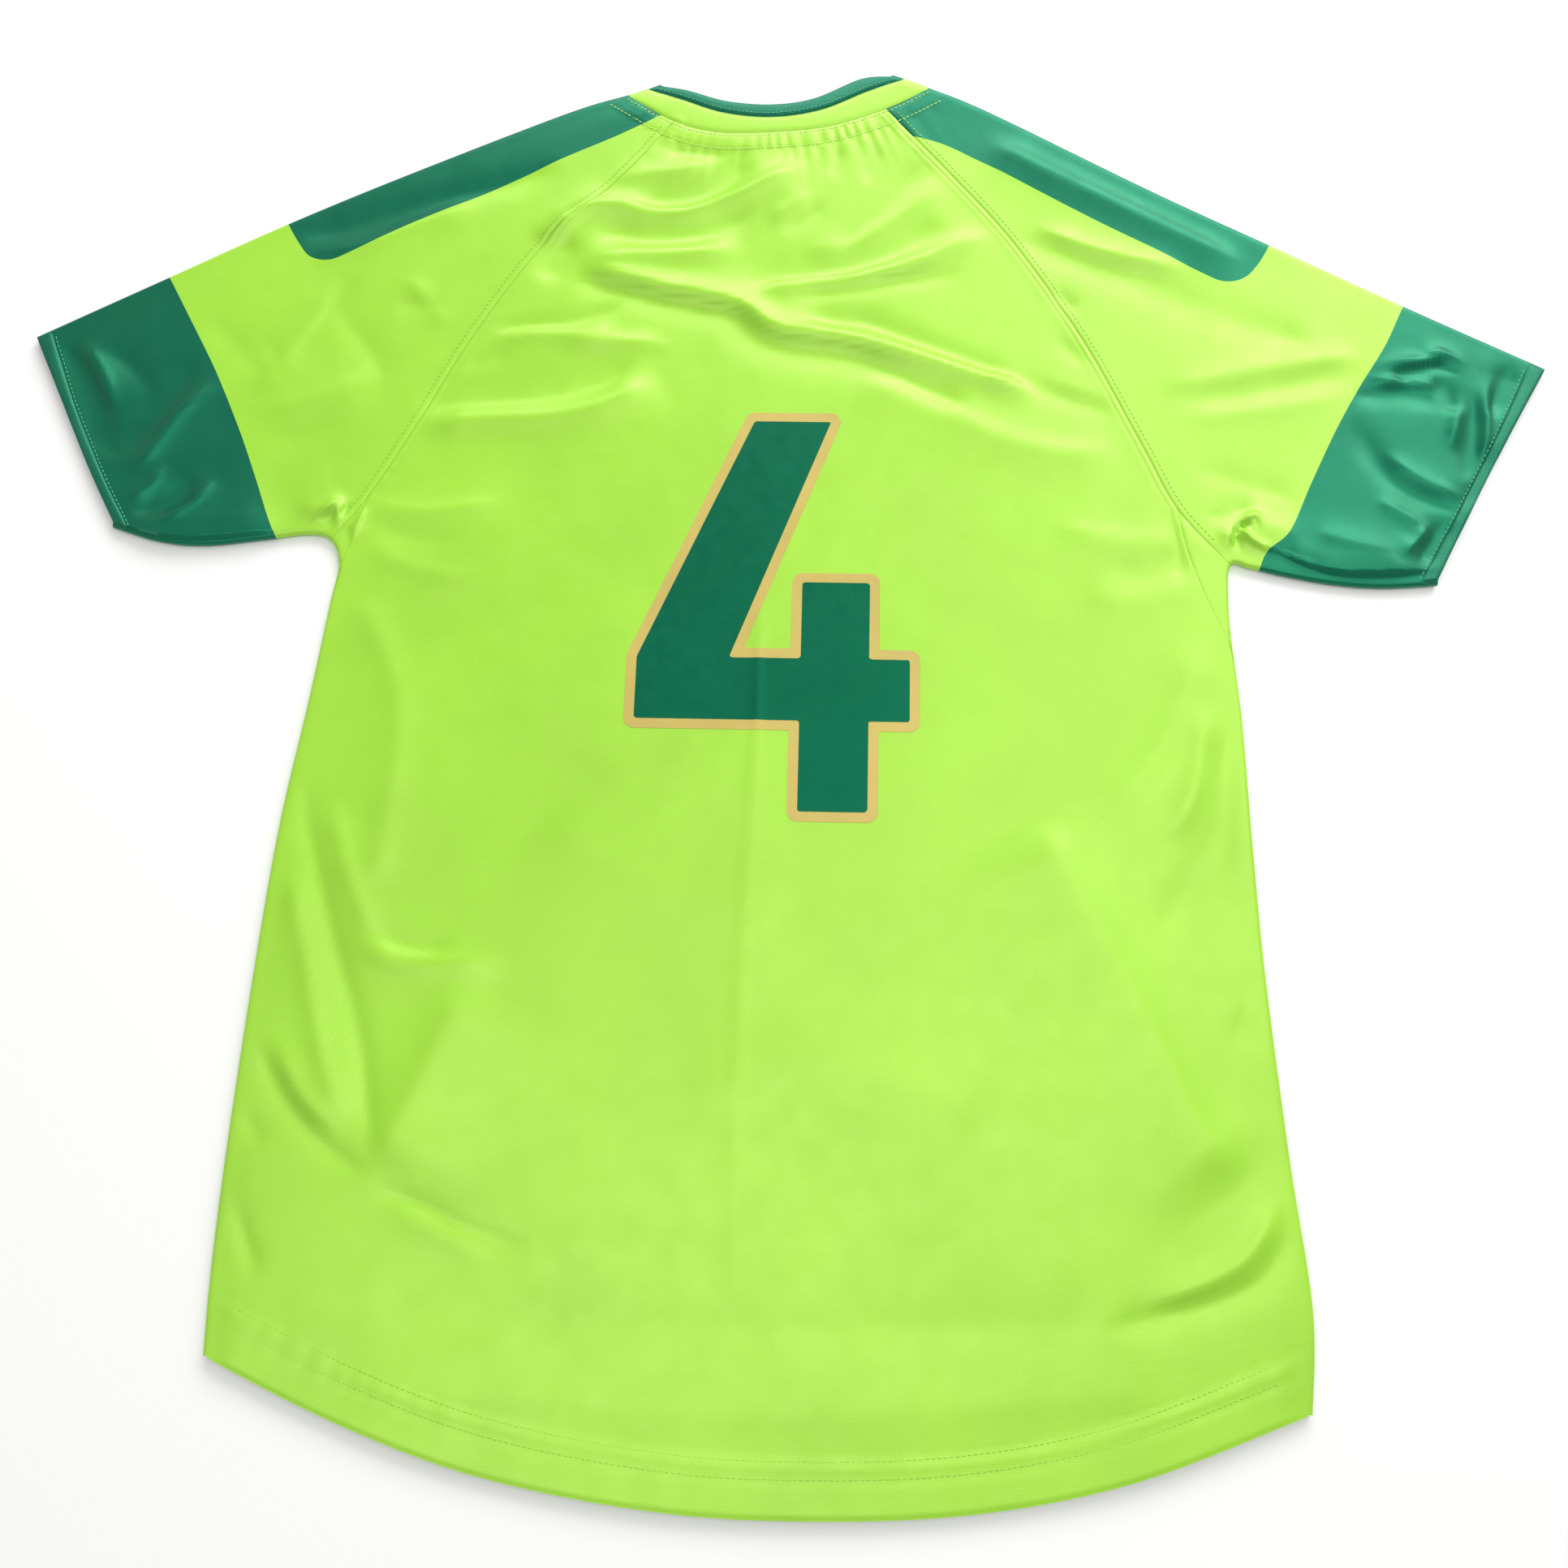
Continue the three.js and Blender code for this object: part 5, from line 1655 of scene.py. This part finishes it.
class BackPanel(ClothPiece):
    """The back: one piece from raglan to raglan, round both sides and down to the hem."""

    SEAM_STRIP = 1.2
    LEAST_TURN = 3
    CLOSE_MARKS = (0, 0.35, 0.7)

    def side_ends(self, rows: SideRows, seams: SideSeams, neck_end: Array) -> Array:
        """Where the rows end on one side, up to the neck.

        Args:
            rows: the side's rows.
            seams: its seams.
            neck_end: where the neck seam ends.

        Returns:
            One point for each row.
        """
        raglan = shift_line(seams.back_high, -seams.side.inward * SEAM_GAP / 2)[1:]
        raglan[-1] = neck_end
        return np.vstack([rows.end, raglan])

    def end_marks(self, wrap: Array, clearance: Array) -> tuple[Array, Array]:
        """The places' distances past the turn's start at one end of each row, seam first.

        Args:
            wrap: how far past the start of the turn each row reaches.
            clearance: the gap at its seam.

        Returns:
            The distances, rows by columns, and where each row starts its turn.
        """
        seam = wrap - clearance
        stop = np.minimum(seam - self.SEAM_STRIP, HALF_TURN)
        start = np.minimum(0, stop - self.LEAST_TURN)
        part = np.linspace(0, 1, TURN_STEPS + 1)
        inner = stop[:, None] + (start - stop)[:, None] * part
        close = seam[:, None] + (stop - seam)[:, None] * np.array(self.CLOSE_MARKS)
        return np.hstack([close, inner]), start

    def build(self, extras: list[Piece]) -> Piece:
        """Builds the back and logs its face count.

        Args:
            extras: separate pieces on it, such as stitching.

        Returns:
            The piece's object.
        """
        neck = shift_line(self.pattern.neck.middle("seam", Layer.BACK), -SEAM_GAP / 2)
        rows = {side: SideRows(self.pattern.seams[side]) for side in Side}
        ends, marks, starts = {}, {}, {}
        for side in Side:
            seams = self.pattern.seams[side]
            neck_end = neck[0] if side is Side.LEFT else neck[-1]
            ends[side] = self.side_ends(rows[side], seams, neck_end)
            spare = len(ends[side]) - len(rows[side].wrap)
            wrap = np.concatenate([rows[side].wrap, np.zeros(spare)])
            clearance = np.concatenate([rows[side].clearance, np.zeros(spare)])
            marks[side], starts[side] = self.end_marks(wrap, clearance)
        left, right = ends[Side.LEFT], ends[Side.RIGHT]
        width = np.linalg.norm(right - left, axis=1)[:, None]
        first = -starts[Side.LEFT][:, None] / width
        last = 1 + starts[Side.RIGHT][:, None] / width
        middle = first + (last - first) * np.linspace(0, 1, BACK_STEPS + 1)[1:-1]
        across = np.hstack([
            np.maximum(-marks[Side.LEFT], 0) / width,
            middle,
            1 - np.maximum(-marks[Side.RIGHT], 0)[:, ::-1] / width,
        ])
        up = 0.5 * (fractions(left) + fractions(right))[:, None]
        points = coons(
            across, up, along(self.pattern.hem, across), along(neck, across), left, right
        )
        places = self.drape.upper(points)
        for side in Side:
            count = len(rows[side].wrap)
            columns = marks[side].shape[1]
            distance = marks[side][:count]
            part = slice(0, columns) if side is Side.LEFT else slice(-columns, None)
            upper_points = points[:count, part]
            if side is Side.RIGHT:
                upper_points = upper_points[:, ::-1]
            sides = rows[side].place(distance, upper_points, self.drape)
            places[:count, part] = sides if side is Side.LEFT else sides[:, ::-1]
        return self.dress(
            shell(places), "back_panel", "lime_knit", Cut(0.53, 0.80, 0.342),
            [self.wardrobe.lime], extras,
        )


class FrontPanel(ClothPiece):
    """The front, which lies flat underneath."""

    def outline(self, side: Side) -> Array:
        """Its side and raglan seams, from the hem to the neck.

        Args:
            side: which side.

        Returns:
            Its points.
        """
        seams = self.pattern.seams[side]
        rows = SideRows(seams).front_seam[::4]
        rows[0] += (0, HEM_SHORTER)
        line = np.vstack([rows, seams.front_low[-1:], seams.front_high[1:]])
        return shift_line(line, -side.inward * SEAM_GAP / 2)

    def build(self) -> Piece:
        """Builds the front and logs its face count.

        Returns:
            The piece's object.
        """
        left, right = self.outline(Side.LEFT), self.outline(Side.RIGHT)
        hem = np.array(HEM[2:-2], float) + (0, HEM_SHORTER)
        bottom = Line(np.vstack([left[0], hem, right[0]])).dense
        neck = shift_line(self.pattern.neck.middle("seam", Layer.FRONT), -SEAM_GAP / 2)
        neck = np.vstack([left[-1], neck[1:-1], right[-1]])
        marks = fractions(neck)
        points = patch(along(bottom, marks), neck, left, right)
        return self.dress(
            shell(lower(points), facing=-1), "front_panel", "lime_knit", Cut(0.46, 0.76, 0.275),
            [self.wardrobe.lime],
        )


@dataclass
class SidePanel(ClothPiece):
    """A strip under the arm, from the armpit to the hem."""

    side: Side = Side.LEFT
    area: float = 0.022

    UNDERSIDE = 8
    SEAM_STRIP = 2.4
    LEAST_TURN = 4

    def build(self) -> Piece:
        """Builds the strip and logs its face count.

        Returns:
            The piece's object.
        """
        seams = self.pattern.seams[self.side]
        rows = SideRows(seams)
        reach = np.linalg.norm(rows.start - rows.upper_seam, axis=1)
        seam = np.where(rows.on_top, -reach, rows.wrap) + rows.clearance
        width = np.linalg.norm(rows.front_seam - rows.start, axis=1) + HALF_TURN - SEAM_GAP / 2
        turn_start = np.maximum(0, seam + self.SEAM_STRIP)
        turn_end = np.maximum(HALF_TURN, turn_start + self.LEAST_TURN)

        def stretch(start: Array, stop: Array, count: int, full: bool = False) -> Array:
            """Even marks between two distances on each row."""
            part = np.linspace(0, 1, count + 1)[: count + int(full)]
            return start[:, None] + (stop - start)[:, None] * part

        marks = np.hstack([
            stretch(seam, turn_start, SIDE_SEAM_STEPS),
            stretch(turn_start, turn_end, TURN_STEPS),
            stretch(turn_end, width, self.UNDERSIDE, full=True),
        ])
        toward = rows.upper_seam - rows.start
        toward /= np.maximum(np.linalg.norm(toward, axis=1, keepdims=True), 1e-9)
        toward[~rows.on_top] = 0
        points = rows.start[:, None] - toward[:, None] * marks[..., None]
        bulge = np.clip(np.cumsum(rows.on_top) / SIDE_SEAM_STEPS, 0, 1)[:, None, None] ** 2
        raglan = shift_line(seams.back_low, -seams.side.inward * SEAM_GAP / 2)[::-1]
        top = points[-1, : SIDE_SEAM_STEPS].copy()
        points[:, : SIDE_SEAM_STEPS] += bulge * (raglan[:-1] - top)
        places = rows.place(marks, points, self.drape)
        under = -self.UNDERSIDE - 1
        front = shift_line(seams.front_low, -seams.side.inward * SEAM_GAP / 2)
        target = along(front, np.linspace(0, 1, self.UNDERSIDE + 1))
        shift = target - places[-1, under:, :2]
        shift[0] = 0
        places[:, under:, :2] += bulge * shift
        return self.dress(
            shell(places), f"side_panel_{self.side.value}", "lime_knit",
            Cut(0.085, 0.45, self.area), [self.wardrobe.lime],
        )


def flat_tube(drape: Drape, upper_points: Array, lower_points: Array,
              folds: tuple[tuple[Array, Array], tuple[Array, Array]],
              puff: Array | None = None) -> Array:
    """Rings over the upper layer, round one folded edge, back underneath and round the other.

    Args:
        drape: the upper layer's height.
        upper_points: rows of points on the upper layer, between the starts of the two turns.
        lower_points: the same rows on the lower layer.
        folds: the turns' starts and outward directions at each end of the rows.
        puff: how much each row of the upper layer stands up beyond the drape.

    Returns:
        The rings of places.
    """
    (start_a, out_a), (start_b, out_b) = folds
    top = drape.upper(upper_points)
    if puff is not None:
        top[..., 2] += puff
    top[:, 0] = turning(start_a, out_a, np.zeros(len(start_a)))
    top[:, -1] = turning(start_b, out_b, np.zeros(len(start_b)))
    part = np.linspace(0, 1, TURN_STEPS + 1)[1:-1]
    rows = np.ones((len(start_a), 1))
    down = turning(start_b[:, None], out_b[:, None], rows * part)
    back = turning(start_a[:, None], out_a[:, None], rows * (1 - part))
    return np.concatenate([top, down, lower(lower_points)[:, ::-1], back], axis=1)


@dataclass
class Sleeve(ClothPiece):
    """A raglan sleeve, folded over the shoulder and printed with a band and a stripe."""

    side: Side = Side.LEFT
    area: float = 0.097

    def print_distance(self, points: Array) -> Array:
        """How far outside the dark green print each point lies, below 0 where it is green.

        Args:
            points: places, one row each.

        Returns:
            The distances.
        """
        values = []
        for table, sign in ((BAND_PRINT, 1), (STRIPE_PRINT, -1)):
            line = Line(side_points(table, self.side)).dense[::5]
            values.append(sign * self.side.inward * near(points, line).signed)
        return np.minimum(*values)

    def build(self, extras: list[Piece]) -> Piece:
        """Builds the sleeve and logs its face count.

        Args:
            extras: separate pieces on it, such as stitching.

        Returns:
            The piece's object.
        """
        seams = self.pattern.seams[self.side]
        cuff = CUFF_WIDTH + SEAM_GAP / 2
        stations = graded(SLEEVE_STEPS, 0.12, 0.25, 12)
        from_armpit = seams.armpit - SEAM_GAP / 2
        from_neck = seams.neck + SEAM_GAP / 2
        fold_a = seams.under.fold(from_armpit + (cuff - from_armpit) * stations)
        stop = seams.shoulder.length - cuff
        fold_b = seams.shoulder.fold(from_neck + (stop - from_neck) * stations)
        rows = []
        for layer in (Layer.BACK, Layer.FRONT):
            end = self.pattern.sleeve_end(self.side, layer)
            end[0], end[-1] = fold_a[0][0], fold_b[0][0]
            cuff_end = along(self.pattern.cuff(self.side, cuff), fractions(end))
            rows.append(patch(end, cuff_end, fold_a[0], fold_b[0]))
        rings = flat_tube(self.drape, rows[0], rows[1], (fold_a, fold_b))
        solid = shell(rings, ring=True)
        solid = split(solid, self.print_distance(solid.vertices[:, :2]))
        return self.dress(
            solid, f"sleeve_{self.side.value}", "printed_sleeve_knit", Cut(0.60, 0.30, self.area),
            [self.wardrobe.lime, self.wardrobe.green], extras,
        )


@dataclass
class CuffBand(ClothPiece):
    """The turned dark green band at a sleeve's end."""

    side: Side = Side.LEFT
    area: float = 0.0023

    STEPS = 12
    MARKS = 110
    PUFF = 0.75

    def build(self) -> Piece:
        """Builds the band and logs its face count.

        Returns:
            The piece's object.
        """
        seams = self.pattern.seams[self.side]
        stations = graded(self.STEPS, 0.4, 0.4, 4)
        distances = (CUFF_WIDTH - SEAM_GAP / 2) * (1 - stations)
        marks = graded(self.MARKS, 0.4, 0.4, 8)
        under = np.linspace(0, 1, UNDERSIDE_STEPS + 1)
        lines = [self.pattern.cuff(self.side, d) for d in distances]
        rings = flat_tube(
            self.drape,
            np.stack([along(line, marks) for line in lines]),
            np.stack([along(line, under) for line in lines]),
            (seams.under.fold(distances), seams.shoulder.fold(seams.shoulder.length - distances)),
            self.PUFF * (1 - np.abs(2 * stations - 1) ** 4)[:, None],
        )
        return self.dress(
            shell(rings, ring=True), f"cuff_band_{self.side.value}", "green_knit",
            Cut(0.29, 0.010, self.area), [self.wardrobe.trim],
        )


@dataclass
class CollarRing(ClothPiece):
    """A ring of the collar between two of the neck's lines."""

    first: str = "seam"
    last: str = "band"
    node: str = "collar_band"
    slot: str = "collar_knit"
    cut: Cut = Cut(0.50, 0.016, 0.0069)
    puff: float = 0.35

    STEPS = 14

    def build(self, finish: Material, extras: list[Piece]) -> Piece:
        """Builds the ring in a finish and logs its face count.

        Args:
            finish: its material.
            extras: separate pieces on it, such as stitching.

        Returns:
            The piece's object.
        """
        columns = NeckLines.COLUMNS
        free = self.last == "edge"
        stations = graded(self.STEPS, 0.4, 0.4, 4)
        folds = []
        for side in Side:
            path = self.pattern.seams[side].shoulder
            start = path.length_to(NECK_SEAM_END - columns.index(self.first)) - SEAM_GAP / 2
            stop = path.length_to(NECK_SEAM_END - columns.index(self.last))
            stop += 0 if free else SEAM_GAP / 2
            folds.append(path.fold(start + (stop - start) * stations))
        rows = []
        for layer in (Layer.BACK, Layer.FRONT):
            first = shift_line(self.pattern.neck.lines[self.first, layer], SEAM_GAP / 2)
            last = self.pattern.neck.lines[self.last, layer].copy()
            if not free:
                last = shift_line(last, -SEAM_GAP / 2)
            for line, i in ((first, 0), (last, -1)):
                line[0], line[-1] = folds[0][0][i], folds[1][0][i]
            rows.append(patch(first, last, folds[0][0], folds[1][0]))
        profile = self.puff * (1 - np.abs(2 * stations - 1) ** 3)[:, None]
        rings = flat_tube(self.drape, rows[0], rows[1], (folds[0], folds[1]), profile)
        return self.dress(
            shell(rings, ring=True), self.node, self.slot, self.cut, [finish], extras
        )


@dataclass
class Figure:
    """The number on the back: a pressed-on block figure on a slightly larger tan one."""

    drape: Drape
    wardrobe: Wardrobe
    cell: float = 1.6

    # Cells past the outline; the start isn't whole, so no grid line runs along a straight edge.
    GRID_START = 2.1
    GRID_END = 2

    @staticmethod
    def distance(points: Array) -> Array:
        """How far outside the figure's straight outline each point lies, below 0 inside.

        Args:
            points: places, one row each.

        Returns:
            The distances.
        """
        line = np.array([*FIGURE, FIGURE[0]], float)
        inside = np.zeros(len(points), bool)
        for (ax, ay), (bx, by) in zip(line[:-1], line[1:]):
            spans = (points[:, 1] < ay) != (points[:, 1] < by)
            with np.errstate(divide="ignore", invalid="ignore"):
                cross = ax + (points[:, 1] - ay) * (bx - ax) / (by - ay)
            inside ^= spans & (points[:, 0] < cross)
        distance = near(points, line).distance
        return np.where(inside, -distance, distance)

    def layer(self, name: str, grow: float, low: float, high: float, finish: Material) -> Piece:
        """One cut layer of the figure, draped over the back.

        Args:
            name: the piece's name.
            grow: how far it reaches past the figure's outline.
            low: its underside over the cloth.
            high: its upper side over the cloth.
            finish: its material.

        Returns:
            The object.
        """
        outline = np.array(FIGURE, float)
        low_corner = outline.min(axis=0) - grow - self.GRID_START * self.cell
        high_corner = outline.max(axis=0) + grow + self.GRID_END * self.cell
        x = np.arange(low_corner[0], high_corner[0], self.cell)
        y = np.arange(low_corner[1], high_corner[1], self.cell)
        flat = np.stack(np.meshgrid(x, y), axis=-1).reshape(-1, 2)
        index = np.arange(len(flat)).reshape(len(y), len(x))
        quads = quads_of(index)
        values = self.distance(flat) - grow
        keep = (values[quads] < 0).any(axis=1)
        sheet = Solid(np.column_stack([flat, np.zeros(len(flat))]),
                      [tuple(quad) for quad in quads[keep].tolist()])
        cut = split(sheet, values)
        faces = [face for face, kind in zip(cut.faces, cut.kinds) if kind]
        used = sorted({i for face in faces for i in face})
        renumber = {old: new for new, old in enumerate(used)}
        faces = [tuple(renumber[i] for i in face) for face in faces]
        flat = cut.vertices[used][:, :2]
        height = self.drape.height(flat)
        count = len(flat)
        edges = {(a, b) for face in faces for a, b in zip(face, face[1:] + face[:1])}
        walls = [(b, a, count + a, count + b) for a, b in sorted(edges) if (b, a) not in edges]
        under = [tuple(count + i for i in reversed(face)) for face in faces]
        vertices = np.vstack([
            np.column_stack([flat, height + high]), np.column_stack([flat, height + low]),
        ])
        piece = make_object(name, Solid(vertices, faces + under + walls), [finish])
        LOG.info("%s: %d faces", name, len(faces))
        return piece

    def build(self) -> list[Piece]:
        """Builds the two layers.

        Returns:
            The outline and the fill.
        """
        return [
            self.layer("number_outline", FIGURE_OUTLINE, -0.3, 0.16, self.wardrobe.figure_edge),
            self.layer("number_fill", 0.0, 0.02, 0.27, self.wardrobe.figure),
        ]


@dataclass
class Stitching:
    """Rows of machine stitches that lie in the cloth."""

    drape: Drape
    thickness: float = 0.3
    length: float = 2.1
    pitch: float = 2.9

    AROUND = 6
    FLATNESS = 0.7
    PROFILE = ((0.12, 0.72), (0.32, 1.0), (0.68, 1.0), (0.88, 0.72))

    def faces(self) -> list[tuple[int, ...]]:
        """The faces of one stitch, whose vertices run from its start through its rings.

        Returns:
            Each face's vertices.
        """
        end = 1 + len(self.PROFILE) * self.AROUND
        tail = end - self.AROUND
        faces = []
        for j in range(self.AROUND):
            n = (j + 1) % self.AROUND
            faces.append((0, 1 + n, 1 + j))
            for a in range(1, tail, self.AROUND):
                faces.append((a + j, a + n, a + self.AROUND + n, a + self.AROUND + j))
            faces.append((end, tail + j, tail + n))
        return faces

    def row(self, name: str, lines: list[Array], finish: Material, slot: str,
            lift: float = 0.12) -> Piece:
        """Stitches along some lines, as one piece.

        Args:
            name: the piece's name.
            lines: the lines that the rows of stitches follow.
            finish: the thread's material.
            slot: the record's slot of its finish; not used.
            lift: how high the thread's middle lies over the cloth.

        Returns:
            The object.
        """
        starts, stops = [], []
        for line in lines:
            reach = reach_along(line)
            count = int(reach[-1] // self.pitch)
            first = np.arange(count) * self.pitch
            for marks, ends in ((first, starts), (first + self.length, stops)):
                ends.append(np.column_stack([np.interp(marks, reach, line[:, k]) for k in (0, 1)]))
        start, stop = np.vstack(starts), np.vstack(stops)
        start = np.column_stack([start, self.drape.height(start) + lift])
        stop = np.column_stack([stop, self.drape.height(stop) + lift])
        way = stop - start
        side = np.column_stack([-way[:, 1], way[:, 0], np.zeros(len(way))])
        side /= np.linalg.norm(side, axis=1, keepdims=True)
        up = np.cross(way / np.linalg.norm(way, axis=1, keepdims=True), side)
        angle = 2 * math.pi * np.arange(self.AROUND)[:, None] / self.AROUND
        ring = np.cos(angle) * side[:, None] + self.FLATNESS * np.sin(angle) * up[:, None]
        places, sizes = np.array(self.PROFILE).T
        centres = start[:, None] + places[:, None] * way[:, None]
        rings = centres[:, :, None] + self.thickness * sizes[:, None, None] * ring[:, None]
        count = len(way)
        vertices = np.hstack([start[:, None], rings.reshape(count, -1, 3), stop[:, None]])
        block = vertices.shape[1]
        bases = range(0, count * block, block)
        pattern = self.faces()
        faces = [tuple(base + i for i in face) for base in bases for face in pattern]
        piece = make_object(name, Solid(vertices.reshape(-1, 3), faces), [finish])
        LOG.info("%s: %d stitches", name, count)
        return piece


@dataclass
class Sewing:
    """Where the garment's rows of stitches run."""

    pattern: Pattern
    drape: Drape
    wardrobe: Wardrobe

    ROW_POINTS = 120

    def trimmed(self, line: Array, start: float, stop: float) -> Array:
        """The part of a line between two fractions of its length."""
        return along(line, np.linspace(start, stop, self.ROW_POINTS))

    def lengthened(self, line: Array, distance: float) -> Array:
        """A line carried straight on at both ends.

        Args:
            line: the line's points.
            distance: how far.

        Returns:
            The longer line.
        """
        first = line[0] + distance * (line[0] - line[3]) / np.linalg.norm(line[0] - line[3])
        last = line[-1] + distance * (line[-1] - line[-4]) / np.linalg.norm(line[-1] - line[-4])
        return np.vstack([first, line, last])

    def hem(self) -> Piece:
        """Twin rows along the hem.

        Returns:
            The piece's object.
        """
        edge = self.pattern.hem[20:-20]
        lines = [self.trimmed(shift_line(edge, d), 0.012, 0.988) for d in HEM_ROWS]
        return Stitching(self.drape).row(
            "hem_stitching", lines, self.wardrobe.lime_thread, "lime_knit"
        )

    def neck(self) -> Piece:
        """Two rows round the neck, below its seam.

        Returns:
            The piece's object.
        """
        line = self.pattern.neck.lines["seam", Layer.BACK]
        lines = [self.lengthened(shift_line(line, -d), d * 0.75 - 2) for d in NECK_ROWS]
        return Stitching(self.drape, pitch=2.7).row(
            "neck_stitching", lines, self.wardrobe.pale_thread, "lime_knit", 0.2
        )

    def binding(self) -> Piece:
        """One row along the binding's lower edge.

        Returns:
            The piece's object.
        """
        line = shift_line(self.pattern.neck.lines["band", Layer.BACK], BINDING_ROW)
        return Stitching(self.drape, pitch=2.6).row(
            "binding_stitching", [self.trimmed(line, 0.02, 0.98)], self.wardrobe.green_thread,
            "green_binding", 0.85,
        )

    def sleeve(self, side: Side) -> list[Piece]:
        """The row beside the raglan seam and the one along the cuff.

        Args:
            side: which sleeve.

        Returns:
            Both rows.
        """
        seams = self.pattern.seams[side]
        raglan = np.vstack([seams.back_low, seams.back_high[1::3]])
        raglan = shift_line(raglan, side.inward * RAGLAN_ROW)
        cuff = self.pattern.cuff(side, CUFF_WIDTH + CUFF_ROW)
        rows = Stitching(self.drape)
        return [
            rows.row(f"raglan_stitching_{side.value}", [self.trimmed(raglan, 0.04, 0.985)],
                     self.wardrobe.lime_thread, "printed_sleeve_knit"),
            rows.row(f"cuff_stitching_{side.value}", [self.trimmed(cuff, 0.01, 0.99)],
                     self.wardrobe.green_thread, "green_knit"),
        ]


@dataclass(frozen=True)
class Lamp:
    """A soft rectangular lamp, in metres and watts."""

    name: str
    place: tuple[float, float, float]
    width: float
    depth: float
    power: float

    def build(self) -> Piece:
        """Puts up the lamp, turned to the middle of the garment.

        Returns:
            The lamp's object.
        """
        data = bpy.data.lights.new(self.name, "AREA")
        data.shape = "RECTANGLE"
        data.size = self.width
        data.size_y = self.depth
        data.energy = self.power
        lamp = bpy.data.objects.new(self.name, data)
        lamp.location = self.place
        x, y, z = self.place
        lamp.rotation_euler = (math.atan2(math.hypot(x, y), z), 0, math.atan2(x, -y))
        bpy.context.scene.collection.objects.link(lamp)
        return lamp


@dataclass(frozen=True)
class Studio:
    """The camera, the lamps and the plain surface."""

    camera_place: tuple[float, float, float] = (0.0337, -0.2467, 0.7856)
    camera_turn: tuple[float, float, float] = (0.2555, 0.0241, 0.0252)
    lens: float = 35.0
    lamps: tuple[Lamp, ...] = (
        Lamp("key_lamp", (0.7, 1.95, 1.15), 3.0, 1.1, 54.0),
        Lamp("side_lamp", (0.81, 1.05, 1.5), 1.0, 0.6, 4.2),
        Lamp("low_lamp", (0.15, -0.2, 1.9), 2.5, 0.8, 17.0),
    )
    sky: float = 0.43

    def build(self) -> None:
        """Sets up everything round the garment."""
        camera = bpy.data.cameras.new("camera")
        camera.lens = self.lens
        camera.sensor_width = 36.0
        camera.clip_start = 0.01
        holder = bpy.data.objects.new("camera", camera)
        holder.location = self.camera_place
        holder.rotation_euler = self.camera_turn
        bpy.context.scene.collection.objects.link(holder)
        bpy.context.scene.camera = holder
        for lamp in self.lamps:
            lamp.build()
        world = bpy.data.worlds.new("studio")
        world.use_nodes = True
        background = world.node_tree.nodes["Background"]
        background.inputs["Color"].default_value = (1.0, 1.0, 1.0, 1.0)
        background.inputs["Strength"].default_value = self.sky
        bpy.context.scene.world = world
        bpy.context.scene.view_settings.view_transform = "Standard"
        mesh = bpy.data.meshes.new("surface")
        size = 4.0
        corners = [(-size, -size, 0), (size, -size, 0), (size, size, 0), (-size, size, 0)]
        mesh.from_pydata(corners, [], [(0, 1, 2, 3)])
        mesh.materials.append(TableTop().material())
        surface = bpy.data.objects.new("surface", mesh)
        surface.location = (0, 0, -0.0003)
        bpy.context.scene.collection.objects.link(surface)


def main() -> None:
    """Builds the jersey piece by piece, then the studio round it."""
    logging.basicConfig(level=logging.INFO, format="%(name)s: %(message)s")
    pattern = Pattern()
    drape = Drape(pattern)
    wardrobe = Wardrobe.make()
    sewing = Sewing(pattern, drape, wardrobe)
    tools = (pattern, drape, wardrobe)
    number = Figure(drape, wardrobe).build()
    BackPanel(*tools).build([*number, sewing.hem(), sewing.neck()])
    FrontPanel(*tools).build()
    for side, strip, sleeve, band in (
        (Side.LEFT, 0.0215, 0.0973, 0.0021), (Side.RIGHT, 0.0240, 0.0967, 0.0024),
    ):
        SidePanel(*tools, side, strip).build()
        Sleeve(*tools, side, sleeve).build(sewing.sleeve(side))
        CuffBand(*tools, side, band).build()
    CollarRing(*tools).build(wardrobe.lime, [])
    CollarRing(
        *tools, "band", "edge", "collar_binding", "green_binding", Cut(0.46, 0.010, 0.0037), 0.8
    ).build(wardrobe.trim, [sewing.binding()])
    Studio().build()


if __name__ == "__main__":
    main()
